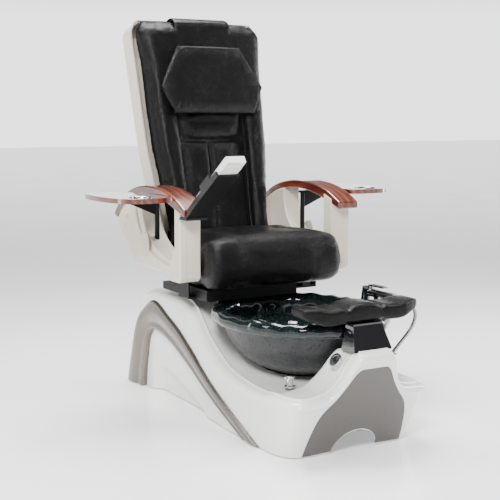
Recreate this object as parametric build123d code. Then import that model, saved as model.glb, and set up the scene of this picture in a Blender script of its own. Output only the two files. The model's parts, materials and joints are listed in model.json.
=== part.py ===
from build123d import *
import os
from math import cos, hypot, radians, sin, tan

# Pedicure spa chair. Millimetres, +Z up, the sitter faces -Y, +X is the sitter's left.
# The origin is on the floor, under the middle of the whole chair.

# ---------------------------------------------------------------- driving dimensions
FIT = 0.05                 # radial clearance of a running fit
GAP = 0.4                  # gap between neighbours that move past each other

BASE_REAR_Y = 685.0        # rear edge of the base at the floor
BASE_FRONT_Y = -545.0      # front edge of the base at the floor
BASE_HALF_WIDTH = 262.0
BASE_LEAN = 0.40           # forward run per unit of height of the front and rear walls
BASE_CORNER = 58.0
FLOOR_GAP = 3.0            # shell edge above the floor
SHELL_WALL = 5.0
PLATFORM_Z = 413.0         # flat seat platform at the rear
DECK_Z = 200.0             # lowest part of the saddle deck
NOSE_Z = 350.0             # flat top of the nose
NOSE_HALF = 76.0
SHOULDER_HALF = 120.0      # break of the nose's bevelled shoulders
SHOULDER_Z = 290.0
SHOULDER_LOW_Z = 176.0
NOSE_REAR_TOP_Y = -560.0
NOSE_REAR_LOW_Y = -470.0
NOSE_FRONT_Y = -671.0

BOWL_Y = -243.0            # centre of the bowl
BOWL_STRETCH = 1.19        # length over width of the bowl
BOWL_FLOOR_Z = 203.0
BOWL_LIP_Z = 408.0
BOWL_LIP_HALF = 288.0
BOWL_WALL = 8.0
BOWL_SEAT_GAP = 4.0
DRAIN_R = 20.0
DRAIN_PIPE_Z = 95.0

FRAME_TUBE = 30.0
FRAME_HALF = 150.0
FRAME_LOW = 45.0           # underside of the lower tubes
FRAME_END_Y = (-385.0, 525.0)
FRAME_POST_Y = (215.0, 400.0)
FOOT_STUD_R = 6.0
FOOT_R = 24.0

RAIL_X = 165.0
RAIL_W = 20.0
RAIL_H = 12.0
RAIL_FRONT_Y = 118.0
RAIL_REAR_Y = 450.0
BEARING_LEN = 50.0
BEARING_Y = (215.0, 330.0)
DRIVE_R = 5.0              # rod of the seat slide
DRIVE_RISE = 9.0
DRIVE_FRONT_Y = 112.0
MOTOR_Y = (250.0, 452.0)
MOTOR_HALF = 30.0

CARRIAGE_Z = PLATFORM_Z + 17.0   # underside of the seat carriage
CARRIAGE_H = 28.0
CARRIAGE_FRONT_Y = -28.0   # front end of the bar at -X, which reaches further than the other
CARRIAGE_SHORT_Y = 60.0    # front end of the bar at +X
CARRIAGE_NOSE_X = 130.0    # the front cross bar ends here
CROSS_BAR = 24.0
CARRIAGE_REAR_Y = 325.0
CARRIAGE_BAR = 35.0

ROD_R = 7.0
ACTUATOR_R = 13.0
ACTUATOR_Z = CARRIAGE_Z + 14.0

SEAT_HALF = 257.0
SEAT_FRONT_Y = -138.0
SEAT_REAR_Y = 245.0
SEAT_BOTTOM_Z = CARRIAGE_Z + 40.0
SEAT_TOP_Z = SEAT_BOTTOM_Z + 185.0
SEAT_ROLL = 22.0           # the front roll stands out past each side by this
CARRIAGE_HALF = SEAT_HALF - 7.0

PIVOT_Y = SEAT_REAR_Y + 30.0     # recline pivot
PIVOT_Z = SEAT_BOTTOM_Z + 30.0
PIN_R = 8.0
EAR_X = SEAT_HALF - 67.0
EAR_T = 8.0
BACK_LEAN = 13.2           # degrees from upright at rest
LEVER_DROP = 56.0          # recline lever, pivot to rod
LEVER_T = 10.0

ARM_IN = SEAT_HALF + 20.0        # inner and outer faces of the armrest casings
ARM_OUT = ARM_IN + 83.0
BRACKET_Y = (60.0, 140.0)  # front and rear of the brackets that carry the armrests
BRACKET_T = 6.0
POST_FRONT_Y = -38.0
POST_BOTTOM_Z = CARRIAGE_Z + 75.0
WOOD_IN = ARM_IN + 2.0
WOOD_OUT = ARM_OUT + 8.0
COVER_Y = 242.0            # middle of the oval cover plate
COVER_Z = CARRIAGE_Z + 188.0
COVER_SCREW = 40.0

TRAY_TOP_Z = CARRIAGE_Z + 377.0
TRAY_T = 17.0
TRAY_IN = WOOD_OUT + 6.0
TRAY_OUT = TRAY_IN + 214.0
TRAY_POST_X = ARM_IN + 43.0
TRAY_POST_Y = 224.0
TRAY_POST_R = 9.0
TRAY_SOCKET_Z = CARRIAGE_Z + 130.0
DISH_X = TRAY_IN + 103.0
DISH_Y = 20.0
DISH_R = 39.0
DISH_DEPTH = 14.0

HOLDER_X = -TRAY_POST_X - 2.0
HOLDER_Y = -90.0
HOLDER_Z = CARRIAGE_Z + 306.0
HOLDER_RISE = 34.7         # degrees above level, towards the front
HOLDER_LEN = 275.0
HOLDER_HALF = 42.0
HOLDER_T = 7.0
REMOTE_HALF = 33.5
REMOTE_T = 24.0
REMOTE_LEN = 245.0
REMOTE_START = 100.0
KEY_TRAVEL = 1.2
KEY_WELL = 5.0
CLIP_Y = (150.0, 225.0)    # the clips that grip the remote, along the holder

BACK_HALF_TOP = SEAT_HALF + 24.0
BACK_HALF_MID = SEAT_HALF + 6.0
BACK_HALF_LOW = SEAT_HALF - 35.0
BACK_LOW_S = 80.0          # along the back, from the pivot
BACK_TOP_S = 990.0
BACK_FRONT_N = -30.0       # across the back, + is rearwards
BACK_PAD_N = 45.0
BACK_SHELL_N = 120.0
BACK_SHELL_T = 4.0
GUIDE_X = 120.0
GUIDE_R = 8.0
GUIDE_N = 92.0
ROLLER_N = 68.0
ROLLER_R = 20.0
ROLLER_S = 340.0           # along the back
ROLLER_AXLE_R = 5.0
PILLOW_T = 42.0

PEDESTAL_HALF = NOSE_HALF
PEDESTAL_TOP_HALF = PEDESTAL_HALF * 0.75
PEDESTAL_REAR_Y = -600.0
PEDESTAL_TOP_FRONT_Y = -640.0
HEAD_PLATE_Z = BOWL_LIP_Z + 20.0
HEAD_PLATE_T = 6.0
HEAD_PLATE_REAR_Y = -505.0
REST_HALF = 229.0
REST_Y = -572.0
REST_DEPTH = 125.0
REST_H = 56.0

MIXER_Z = DECK_Z + 5
MIXER = (-169.0, -447.0)
VALVE = (205.0, -500.0)
VALVE_BOSS = 16.8          # flat boss of the far valve, above the sloping shoulder it stands on
SHOULDER_FALL = (SHOULDER_Z - SHOULDER_LOW_Z) / (BASE_HALF_WIDTH + 20 - SHOULDER_HALF)
VALVE_Z = SHOULDER_Z - (VALVE[0] - SHOULDER_HALF) * SHOULDER_FALL + VALVE_BOSS
FAUCET_R = 18.0
LEVER_HALF = 20.0
STEM_R = 9.0
BUTTON_R = 15.0
BUTTON_TRAVEL = 3.0
DOCK = (240.0, -395.0)
DOCK_R = 9.0
SPRAYER_Z = BOWL_LIP_Z + 60.0
HOSE_EXIT = (226.0, -458.0, DECK_Z + 7.0)
GLAND = (120.0, 60.0)      # across and up, in the rear wall
GLAND_R = 12.0
SPRAYER_R = 15.0
HOSE_R = 6.5

JET_Z = 295.0
JET_R = 38.0
JET_FRONT_Y = -20.0
JET_REAR_Y = 72.0
JET_CUP_DEPTH = 26.0

os.makedirs("parts", exist_ok=True)


# ---------------------------------------------------------------- helpers
def block(x0, x1, y0, y1, z0, z1):
    """A box between two corners."""
    size = (x1 - x0, y1 - y0, z1 - z0)
    middle = ((x0 + x1) / 2, (y0 + y1) / 2, (z0 + z1) / 2)
    return Pos(*middle) * Box(*size)


def rod(start, end, radius):
    """A round bar between two points."""
    a = Vector(*start)
    b = Vector(*end)
    plane = Plane(origin=a, z_dir=b - a)
    return extrude(plane * Circle(radius), (b - a).length)


def ring(start, end, outer, inner):
    """A tube between two points."""
    return rod(start, end, outer) - rod(start, end, inner)


def side_prism(face_yz, x0, x1):
    """A face drawn with Y as its first axis and Z as its second, made solid from x0 to x1."""
    plane = Plane(origin=(x0, 0, 0), x_dir=(0, 1, 0), z_dir=(1, 0, 0))
    return extrude(plane * face_yz, x1 - x0)


def polygon(points):
    return make_face(Polyline(*points, close=True))


def mirrored(solid):
    return mirror(solid, about=Plane.YZ)


def save(name, shape):
    """Write one node. A group of separate solids is written as one compound."""
    solids = list(shape.solids()) if not isinstance(shape, list) else [s for p in shape for s in p.solids()]
    export_step(solids[0] if len(solids) == 1 else Compound(children=solids), f"parts/{name}.step")


def save_pair(name, right_side):
    """Write the same piece for both sides. The solid given is the one at -X, the sitter's right."""
    save(f"{name}_right", right_side)
    save(f"{name}_left", mirrored(right_side))


# ---------------------------------------------------------------- base shell
RIM_LINE = [(-760, DECK_Z - 5), (-430, DECK_Z), (-306, DECK_Z + 7), (-175, DECK_Z + 29), (-37, PLATFORM_Z - 121),
            (30, PLATFORM_Z - 68), (85, PLATFORM_Z - 24), (135, PLATFORM_Z - 5), (187, PLATFORM_Z)]
REAR_LINE = [(430, PLATFORM_Z), (505, PLATFORM_Z - 21), (562, PLATFORM_Z - 83), (600, PLATFORM_Z - 183)]


def leaning_plan(inset, height):
    """The floor outline, carried up along the lean of the front and rear walls."""
    half = BASE_HALF_WIDTH - inset
    length = BASE_REAR_Y - BASE_FRONT_Y - 2 * inset
    middle = (BASE_REAR_Y + BASE_FRONT_Y) / 2
    outline = Pos(0, middle, 0) * RectangleRounded(2 * half, length, BASE_CORNER - inset)
    slope = Vector(0, -BASE_LEAN, 1)
    return extrude(outline, height * slope.length, dir=slope)


def side_outline(inset):
    front = [(y, z - inset) for y, z in RIM_LINE]
    rear = [(y - inset * 0.6, z - inset) for y, z in REAR_LINE]
    rim = Spline(*front, tangents=((1, 0), (1, 0)))
    flat = Line(front[-1], rear[0])
    drop = Spline(*rear, tangents=((1, 0), (0.2, -1)))
    corner = (BASE_REAR_Y + 60, rear[-1][1] - 60)
    close = Polyline(rear[-1], corner, (corner[0], -20), (front[0][0], -20), front[0])
    return make_face([rim, flat, drop, close])


def nose(inset):
    """The raised nose: bevelled shoulders along Y, with a sloped rear face."""
    wide = BASE_HALF_WIDTH + 20
    left = [(-wide, -20), (-wide, SHOULDER_LOW_Z - inset), (-SHOULDER_HALF, SHOULDER_Z - inset),
            (-NOSE_HALF, NOSE_Z - inset)]
    face = polygon(left + [(-x, z) for x, z in reversed(left)])
    bar = Plane(origin=(0, -760, 0), x_dir=(1, 0, 0), z_dir=(0, -1, 0)) * face
    solid = extrude(bar, -(NOSE_REAR_LOW_Y + 760))
    slope = (NOSE_Z - DECK_Z) / (NOSE_REAR_LOW_Y - NOSE_REAR_TOP_Y)
    top = NOSE_Z + 40 - inset
    back = polygon([(NOSE_REAR_LOW_Y - inset, DECK_Z), (NOSE_REAR_LOW_Y - inset - (top - DECK_Z) / slope, top),
                    (NOSE_REAR_LOW_Y + 60, top), (NOSE_REAR_LOW_Y + 60, DECK_Z)])
    return solid - side_prism(back, -400, 400)


def base_solid(inset):
    height = PLATFORM_Z + 40
    plan = leaning_plan(inset, height)
    skin = side_prism(side_outline(inset), -400, 400)
    return (skin + nose(inset)) & plan


# the bowl's wall as height above its floor and half width, for a bowl 205 deep and 288 to the lip
DEEPER = (BOWL_LIP_Z - BOWL_FLOOR_Z) / 205
WIDER = BOWL_LIP_HALF / 288
BOWL_WALL_LINE = [(BOWL_FLOOR_Z + rise * DEEPER, half * WIDER)
                  for rise, half in ((0, 78), (12, 116), (32, 160), (57, 195), (97, 228), (137, 246), (182, 254))]
BOWL_HEIGHTS = [z for z, half in BOWL_WALL_LINE[:-1]] + [BOWL_LIP_Z - 12]


def bowl_half_width(z):
    """Half width of the bowl's outside at a height."""
    table = BOWL_WALL_LINE
    for (z0, r0), (z1, r1) in zip(table, table[1:]):
        if z <= z1:
            return r0 + (r1 - r0) * (z - z0) / (z1 - z0)
    return table[-1][1]


def bowl_outside(grow):
    """The bowl's outer form up to its lip, made larger by grow for the opening it sits in."""
    wall = [(bowl_half_width(z) + grow, z - grow) for z in BOWL_HEIGHTS]
    lip = BOWL_LIP_HALF + grow
    profile = polygon([(0, wall[0][1])] + wall + [(lip, wall[-1][1]), (lip, 520), (0, 520)])
    body = revolve(Plane.XZ * profile, Axis.Z)
    return Pos(0, BOWL_Y, 0) * scale(body, by=(1, BOWL_STRETCH, 1))


TRIM_OUTER = [(624, 104), (577, 240), (501, 323), (402, 372), (269, 327), (158, 284), (37, 225), (-71, 167),
              (-181, 113)]
TRIM_INNER = [(520, 14), (508, 88), (478, 195), (450, 239), (415, 255), (372, 251), (271, 230), (114, 177),
              (-35, 113)]
TRIM_T = 10.0
PANEL_DEPTH = 30.0
PANEL_T = 4.0


def arch(points, rear_y, front_y, base_z, inset=0.0):
    """The region under an arched line, closed along the floor, made smaller by inset."""
    full = [(rear_y, base_z)] + points + [(front_y, base_z)]
    moved = []
    for before, here, after in zip(full[:1] + full[:-1], full, full[1:] + full[-1:]):
        run_y = after[0] - before[0]
        run_z = after[1] - before[1]
        length = hypot(run_y, run_z)
        moved.append((here[0] - run_z / length * inset, here[1] + run_y / length * inset))
    moved[0] = (moved[0][0], base_z)
    moved[-1] = (moved[-1][0], base_z)
    line = Spline(*moved)
    return make_face([line, Line(moved[-1], moved[0])])


def trim_outer(inset=0.0):
    return arch(TRIM_OUTER, 655, -404, FLOOR_GAP, inset)


def trim_inner(inset=0.0):
    return arch(TRIM_INNER, 522, -285, FLOOR_GAP, inset)


def base_shell():
    outer = base_solid(0)
    shell = outer - base_solid(SHELL_WALL)
    shell -= block(-500, 500, -900, 900, -60, FLOOR_GAP)
    shell -= bowl_outside(BOWL_SEAT_GAP)
    for side in (-1, 1):
        x = side * BASE_HALF_WIDTH
        shell -= side_prism(trim_inner(), x - 12, x + 12)
    # toe arch in the front wall
    shell -= rod((0, -700, -8), (0, -500, -8), 88)
    # flat bosses under the two deck valves
    shell += rod((MIXER[0], MIXER[1], DECK_Z - 8), (MIXER[0], MIXER[1], MIXER_Z), FAUCET_R + 6)
    shell += rod((VALVE[0], VALVE[1], DECK_Z + 14), (VALVE[0], VALVE[1], VALVE_Z), FAUCET_R + 6)
    # holes for the button and the hose
    shell -= rod(along_button(-30), along_button(30), BUTTON_R + 1)
    shell += rod((HOSE_EXIT[0], HOSE_EXIT[1], DECK_Z - 4), HOSE_EXIT, HOSE_R + 12)
    shell -= rod((HOSE_EXIT[0], HOSE_EXIT[1], 100), (HOSE_EXIT[0], HOSE_EXIT[1], 400), HOSE_R + 4)
    shell -= rod((GLAND[0], 500, GLAND[1]), (GLAND[0], 800, GLAND[1]), GLAND_R)
    return shell


# the push button sits square on the steep left shoulder of the nose
BUTTON_DIR = (-(NOSE_Z - SHOULDER_Z), 0.0, SHOULDER_HALF - NOSE_HALF)
BUTTON_OUT = 23.0
BUTTON_AT = (-NOSE_HALF - BUTTON_OUT, -607.0, NOSE_Z + BUTTON_OUT * BUTTON_DIR[0] / BUTTON_DIR[2])


def along_button(distance):
    length = hypot(BUTTON_DIR[0], BUTTON_DIR[2])
    return tuple(a + d * distance / length for a, d in zip(BUTTON_AT, BUTTON_DIR))


shell = base_shell()
save("base_shell", shell)

band = side_prism(trim_outer() - trim_inner(), -BASE_HALF_WIDTH - TRIM_T, -BASE_HALF_WIDTH)
band &= leaning_plan(-TRIM_T - 1, 500)
save_pair("side_trim", band)

panel = side_prism(trim_inner(GAP), -BASE_HALF_WIDTH, -BASE_HALF_WIDTH + PANEL_DEPTH)
panel -= side_prism(trim_inner(GAP + PANEL_T), -BASE_HALF_WIDTH - 1, -BASE_HALF_WIDTH + PANEL_DEPTH - PANEL_T)
save_pair("side_panel", panel)

# front panel: a thin sheet that lies on the leaning front wall
PANEL_SHEET = 3.0
front_face = polygon([(-200, FLOOR_GAP + 2), (-92, FLOOR_GAP + 2), (-92, 20), (-60, 66), (60, 66), (92, 20),
                      (92, FLOOR_GAP + 2), (200, FLOOR_GAP + 2), (176, 152), (58, 292), (-58, 292), (-176, 152)])
front_plane = Plane(origin=(0, BASE_FRONT_Y - 80 * BASE_LEAN - 40, 0), x_dir=(1, 0, 0), z_dir=(0, -1, 0))
sheet = extrude(front_plane * front_face, 120, both=True)
sheet &= leaning_plan(-PANEL_SHEET, 500) - leaning_plan(0, 500)
save("front_panel", sheet)

# ---------------------------------------------------------------- foot bowl and its plumbing
lip_inner = bowl_half_width(BOWL_LIP_Z) - BOWL_WALL
lip_low = BOWL_LIP_Z - 12
outside = [(bowl_half_width(z), z) for z in BOWL_HEIGHTS]
inside = [(bowl_half_width(z) - BOWL_WALL, z + (BOWL_WALL if z < BOWL_FLOOR_Z + 47 else 0))
          for z in BOWL_HEIGHTS[:-1]]
profile = polygon([(0, BOWL_FLOOR_Z)] + outside + [(BOWL_LIP_HALF, lip_low), (BOWL_LIP_HALF, lip_low + 8),
                  (lip_inner + 12, BOWL_LIP_Z + 8), (lip_inner, BOWL_LIP_Z - 4)] + inside[::-1]
                  + [(0, BOWL_FLOOR_Z + BOWL_WALL)])
bowl = Pos(0, BOWL_Y, 0) * scale(revolve(Plane.XZ * profile, Axis.Z), by=(1, BOWL_STRETCH, 1))
bowl -= rod((0, BOWL_Y, 150), (0, BOWL_Y, 260), DRAIN_R)
bowl -= rod((0, JET_FRONT_Y, JET_Z), (0, JET_REAR_Y + 20, JET_Z), JET_R + GAP)
bowl -= rod((DOCK[0], DOCK[1], 300), (DOCK[0], DOCK[1], 500), DOCK_R + FIT)
save("bowl", bowl)

floor_in = BOWL_FLOOR_Z + BOWL_WALL
drain = ring((0, BOWL_Y, 120), (0, BOWL_Y, floor_in), DRAIN_R - FIT, DRAIN_R - 3)
drain += rod((0, BOWL_Y, floor_in), (0, BOWL_Y, floor_in + 3), DRAIN_R + 12)
for hole in range(6):
    angle = radians(60 * hole)
    x = 10 * cos(angle)
    y = BOWL_Y + 10 * sin(angle)
    drain -= rod((x, y, floor_in - 5), (x, y, floor_in + 5), 3)
save("drain_fitting", drain)

pipe_path = FilletPolyline((0, BOWL_Y, 120), (0, BOWL_Y, DRAIN_PIPE_Z), (0, 620, DRAIN_PIPE_Z), radius=24)
pipe_section = Plane(origin=(0, BOWL_Y, 120), z_dir=(0, 0, -1)) * (Circle(DRAIN_R) - Circle(DRAIN_R - 3))
save("drain_pipe", sweep(pipe_section, path=pipe_path))

cup = rod((0, JET_FRONT_Y, JET_Z), (0, JET_REAR_Y, JET_Z), JET_R)
cup -= rod((0, JET_FRONT_Y, JET_Z), (0, JET_FRONT_Y + JET_CUP_DEPTH, JET_Z), JET_R - 5)
axle = rod((0, JET_FRONT_Y + 3, JET_Z), (0, JET_FRONT_Y + JET_CUP_DEPTH, JET_Z), 4)
save("jet_housing", cup + axle)

wheel_front = JET_FRONT_Y + 6
wheel_rear = JET_FRONT_Y + JET_CUP_DEPTH - 3
wheel = rod((0, wheel_front, JET_Z), (0, wheel_rear, JET_Z), 9)
for blade in range(6):
    vane = block(-1.5, 1.5, wheel_front, wheel_rear, 8, JET_R - 5 - 3)
    wheel += Pos(0, 0, JET_Z) * Rot(0, 60 * blade, 0) * vane
wheel -= rod((0, wheel_front - 1, JET_Z), (0, wheel_rear + 1, JET_Z), 4 + FIT)
save("jet_impeller", wheel)

# ---------------------------------------------------------------- steel frame and feet
half_tube = FRAME_TUBE / 2
CRADLE_Z = BOWL_FLOOR_Z - 13
CRADLE_BARS_Y = (BOWL_Y - 60, BOWL_Y + 60)
frame = None
for x in (-FRAME_HALF, FRAME_HALF):
    long_bar = block(x - half_tube, x + half_tube, FRAME_END_Y[0] - half_tube, FRAME_END_Y[1] + half_tube,
                     FRAME_LOW, FRAME_LOW + FRAME_TUBE)
    frame = long_bar if frame is None else frame + long_bar
    for y in FRAME_POST_Y:
        frame += block(x - half_tube, x + half_tube, y - half_tube, y + half_tube, FRAME_LOW, PLATFORM_Z - SHELL_WALL)
    for y in CRADLE_BARS_Y:
        frame += block(x - half_tube, x + half_tube, y - half_tube, y + half_tube, FRAME_LOW, CRADLE_Z)
for y in FRAME_END_Y:
    frame += block(-FRAME_HALF, FRAME_HALF, y - half_tube, y + half_tube, FRAME_LOW, FRAME_LOW + FRAME_TUBE)
for y in CRADLE_BARS_Y:
    frame += block(-FRAME_HALF, FRAME_HALF, y - half_tube, y + half_tube, CRADLE_Z - FRAME_TUBE, CRADLE_Z)
cradle = rod((0, BOWL_Y, CRADLE_Z), (0, BOWL_Y, BOWL_FLOOR_Z), 74)
frame += cradle
frame -= rod((0, BOWL_Y, 100), (0, BOWL_Y, 240), DRAIN_R + 2)
frame -= rod((0, 450, DRAIN_PIPE_Z), (0, 600, DRAIN_PIPE_Z), DRAIN_R + 2)
foot_spots = [(x, y) for x in (-FRAME_HALF, FRAME_HALF) for y in FRAME_END_Y]
for x, y in foot_spots:
    frame -= rod((x, y, FRAME_LOW - 1), (x, y, FRAME_LOW + FRAME_TUBE + 1), FOOT_STUD_R)
save("base_frame", frame)
feet = []
for x, y in foot_spots:
    pad = rod((x, y, 0), (x, y, 12), FOOT_R)
    stem = rod((x, y, 12), (x, y, FRAME_LOW + FRAME_TUBE), FOOT_STUD_R)
    nut = rod((x, y, FRAME_LOW - 8), (x, y, FRAME_LOW), FOOT_STUD_R + 5)
    feet.append(pad + stem + nut)
save("levelling_feet", feet)

# ---------------------------------------------------------------- seat slide
rail_top = PLATFORM_Z + RAIL_H
rails = [block(x - RAIL_W / 2, x + RAIL_W / 2, RAIL_FRONT_Y, RAIL_REAR_Y, PLATFORM_Z, rail_top)
         for x in (-RAIL_X, RAIL_X)]
save("seat_rails", rails)

bearings = []
for x in (-RAIL_X, RAIL_X):
    for y in BEARING_Y:
        shoe = block(x - RAIL_W / 2 - 8, x + RAIL_W / 2 + 8, y, y + BEARING_LEN, PLATFORM_Z + 2, CARRIAGE_Z)
        shoe -= block(x - RAIL_W / 2 - FIT, x + RAIL_W / 2 + FIT, y - 1, y + BEARING_LEN + 1, 0, rail_top + FIT)
        bearings.append(shoe)
save("slide_bearings", bearings)

drive_z = PLATFORM_Z + DRIVE_RISE
motor = block(-MOTOR_HALF, MOTOR_HALF, MOTOR_Y[0], MOTOR_Y[1], PLATFORM_Z, PLATFORM_Z + 16)
motor -= rod((0, MOTOR_Y[0] - 1, drive_z), (0, MOTOR_Y[1] - 6, drive_z), DRIVE_R + FIT)
save("slide_actuator", motor)
save("slide_rod", rod((0, DRIVE_FRONT_Y, drive_z), (0, MOTOR_Y[1] - 72, drive_z), DRIVE_R))

# ---------------------------------------------------------------- seat carriage
top_z = CARRIAGE_Z + CARRIAGE_H
plate_top = CARRIAGE_Z + 6
carriage = None
for x in (-1, 1):
    inner = x * (CARRIAGE_HALF - CARRIAGE_BAR)
    outer = x * CARRIAGE_HALF
    front = CARRIAGE_FRONT_Y if x < 0 else CARRIAGE_SHORT_Y
    bar = block(min(inner, outer), max(inner, outer), front, CARRIAGE_REAR_Y, CARRIAGE_Z, top_z)
    carriage = bar if carriage is None else carriage + bar
    ear_x = sorted((x * (EAR_X + EAR_T + GAP), x * (EAR_X + 2 * EAR_T + GAP)))
    carriage += block(ear_x[0], ear_x[1], PIVOT_Y - 20, PIVOT_Y + 20, CARRIAGE_Z, PIVOT_Z + 20)
    plate_x = sorted((x * (ARM_IN - BRACKET_T), x * ARM_IN))
    carriage += block(plate_x[0], plate_x[1], *BRACKET_Y, CARRIAGE_Z, CARRIAGE_Z + 170)
    foot_x = sorted((x * (CARRIAGE_HALF - 1), x * ARM_IN))
    carriage += block(foot_x[0], foot_x[1], *BRACKET_Y, CARRIAGE_Z, CARRIAGE_Z + 8)
web = CARRIAGE_HALF - 1
rear_bar_y = CARRIAGE_REAR_Y - CROSS_BAR
carriage += block(-web, CARRIAGE_NOSE_X, CARRIAGE_FRONT_Y, CARRIAGE_FRONT_Y + CROSS_BAR, CARRIAGE_Z, top_z)
carriage += block(-web, web, rear_bar_y, CARRIAGE_REAR_Y, CARRIAGE_Z, top_z)
for x in (-1, 1):
    ear_x = sorted((x * (EAR_X + EAR_T + GAP), x * (CARRIAGE_HALF - CARRIAGE_BAR + 1)))
    carriage += block(ear_x[0], ear_x[1], PIVOT_Y - 20, PIVOT_Y + 20, CARRIAGE_Z, top_z)
for x in (-RAIL_X, RAIL_X):
    carriage += block(x - 20, x + 20, BEARING_Y[0] - 15, CARRIAGE_REAR_Y - 10, CARRIAGE_Z, plate_top)
    carriage += block(x - 20, x + 20, CARRIAGE_REAR_Y - 12, BEARING_Y[1] + 55, CARRIAGE_Z, plate_top)
carriage += block(-MOTOR_HALF, MOTOR_HALF, DRIVE_FRONT_Y - 12, DRIVE_FRONT_Y, drive_z - DRIVE_R, plate_top)
carriage += block(-web, CARRIAGE_NOSE_X, CARRIAGE_FRONT_Y, CARRIAGE_SHORT_Y, top_z, SEAT_BOTTOM_Z)
carriage += block(-web, web, CARRIAGE_SHORT_Y, SEAT_REAR_Y - 10, top_z, SEAT_BOTTOM_Z)
carriage += block(-MOTOR_HALF, MOTOR_HALF, BRACKET_Y[0], DRIVE_FRONT_Y, CARRIAGE_Z, plate_top)
for x in (-1, 1):
    lug_x = sorted((x * MOTOR_HALF, x * (CARRIAGE_HALF - CARRIAGE_BAR + 1)))
    carriage += block(lug_x[0], lug_x[1], BRACKET_Y[0], DRIVE_FRONT_Y, CARRIAGE_Z, plate_top)
pivot_hole = rod((-400, PIVOT_Y, PIVOT_Z), (400, PIVOT_Y, PIVOT_Z), PIN_R)
carriage -= pivot_hole
save("seat_frame", carriage)

pin_ends = (EAR_X - 4, EAR_X + 2 * EAR_T + 3)
pins = [rod((x * pin_ends[0], PIVOT_Y, PIVOT_Z), (x * pin_ends[1], PIVOT_Y, PIVOT_Z), PIN_R) for x in (-1, 1)]
save("recline_pins", pins)

drive = rod((0, CARRIAGE_FRONT_Y + CROSS_BAR, ACTUATOR_Z), (0, 120, ACTUATOR_Z), ACTUATOR_R)
drive -= rod((0, 25, ACTUATOR_Z), (0, 121, ACTUATOR_Z), ROD_R + FIT)
drive -= block(-40, 40, 50, 130, 0, plate_top)
save("recline_actuator", drive)

fork_front = PIVOT_Y - 22
fork = rod((0, 62, ACTUATOR_Z), (0, fork_front, ACTUATOR_Z), ROD_R)
fork += block(-14, 14, fork_front - 1, PIVOT_Y + 12, ACTUATOR_Z - 10, ACTUATOR_Z + 10)
fork -= block(-LEVER_T / 2 - 1.5, LEVER_T / 2 + 1.5, fork_front + 6, PIVOT_Y + 20, 0, 900)
save("recline_rod", fork)

# ---------------------------------------------------------------- seat cushion
cushion = block(-SEAT_HALF, SEAT_HALF, -50, SEAT_REAR_Y, SEAT_BOTTOM_Z, SEAT_TOP_Z)
front_face = polygon([(-48, SEAT_BOTTOM_Z), (-110, SEAT_BOTTOM_Z), (SEAT_FRONT_Y, SEAT_BOTTOM_Z + 40),
                      (SEAT_FRONT_Y, SEAT_TOP_Z - 62), (SEAT_FRONT_Y + 38, SEAT_TOP_Z - 5), (-48, SEAT_TOP_Z + 5)])
roll = side_prism(front_face, -SEAT_HALF - SEAT_ROLL, SEAT_HALF + SEAT_ROLL)
cushion += roll
save("seat_cushion", cushion)

# ---------------------------------------------------------------- armrests
def above_carriage(points):
    """Side outlines of the arms are given as (Y, height above the carriage)."""
    return [(y, z + CARRIAGE_Z) for y, z in points]


WOOD_TOP = above_carriage([(-84, 336), (-7, 373), (87, 396), (205, 403), (288, 396), (372, 376), (450, 337), (512, 283)])
WOOD_LOW = above_carriage([(490, 264), (430, 314), (361, 350), (277, 368), (185, 372), (87, 360), (-8, 334), (-82, 309)])
ARM_OPENING = above_carriage([(48, 145), (120, 159), (203, 194), (270, 254), (294, 322)])
ARM_FRONT = above_carriage([(-38, 345), (16, 365), (15, 203), (47, 187), (48, 145)])
ARM_REAR = above_carriage([(294, 322), (296, 390), (421, 370), (478, 285), (491, 249), (333, 104), (47, 98)])


def wood_face():
    return make_face([Spline(*WOOD_TOP), Line(WOOD_TOP[-1], WOOD_LOW[0]), Spline(*WOOD_LOW),
                      Line(WOOD_LOW[-1], WOOD_TOP[0])])


def arm_top():
    return side_prism(wood_face(), -WOOD_OUT, -WOOD_IN)


def armrest():
    foot = [(47, POST_BOTTOM_Z), (-24, POST_BOTTOM_Z), (POST_FRONT_Y, POST_BOTTOM_Z + 14)]
    outline = [Spline(*ARM_OPENING), Polyline(*ARM_REAR, *foot, *ARM_FRONT)]
    casing = side_prism(make_face(outline), -ARM_OUT, -ARM_IN)
    sky = [WOOD_LOW[-1], (-200, WOOD_LOW[-1][1]), (-200, 1200), (700, 1200), (700, WOOD_LOW[0][1]), WOOD_LOW[0]]
    low_face = make_face([Spline(*WOOD_LOW), Polyline(*sky)])
    casing -= side_prism(low_face, -ARM_OUT - 5, -ARM_IN + 5)
    socket = rod((TRAY_POST_X, TRAY_POST_Y, TRAY_SOCKET_Z), (TRAY_POST_X, TRAY_POST_Y, TRAY_TOP_Z),
                 TRAY_POST_R + FIT)
    casing -= mirrored(socket)
    return casing


save_pair("armrest", armrest())
save_pair("arm_top", arm_top())

cover = side_prism(Pos(COVER_Y, COVER_Z) * Ellipse(34, 50), -ARM_OUT - 3, -ARM_OUT)
for z in (COVER_Z - COVER_SCREW, COVER_Z + COVER_SCREW):
    cover += rod((-ARM_OUT - 5, COVER_Y, z), (-ARM_OUT - 2, COVER_Y, z), 4)
save_pair("arm_plate", cover)

# ---------------------------------------------------------------- swing trays
def tray_board():
    corners = [(TRAY_IN, -36), (TRAY_OUT - 22, -42), (TRAY_OUT, 120), (TRAY_OUT - 14, 335),
               (TRAY_IN + 92, 335), (TRAY_IN, 212)]
    path = FilletPolyline(*corners, close=True, radius=[26, 84, 60, 72, 40, 24])
    board = Pos(0, 0, TRAY_TOP_Z - TRAY_T) * extrude(make_face(path), TRAY_T)
    board -= rod((DISH_X, DISH_Y, TRAY_TOP_Z - 40), (DISH_X, DISH_Y, TRAY_TOP_Z + 10), DISH_R + GAP)
    return board


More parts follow.
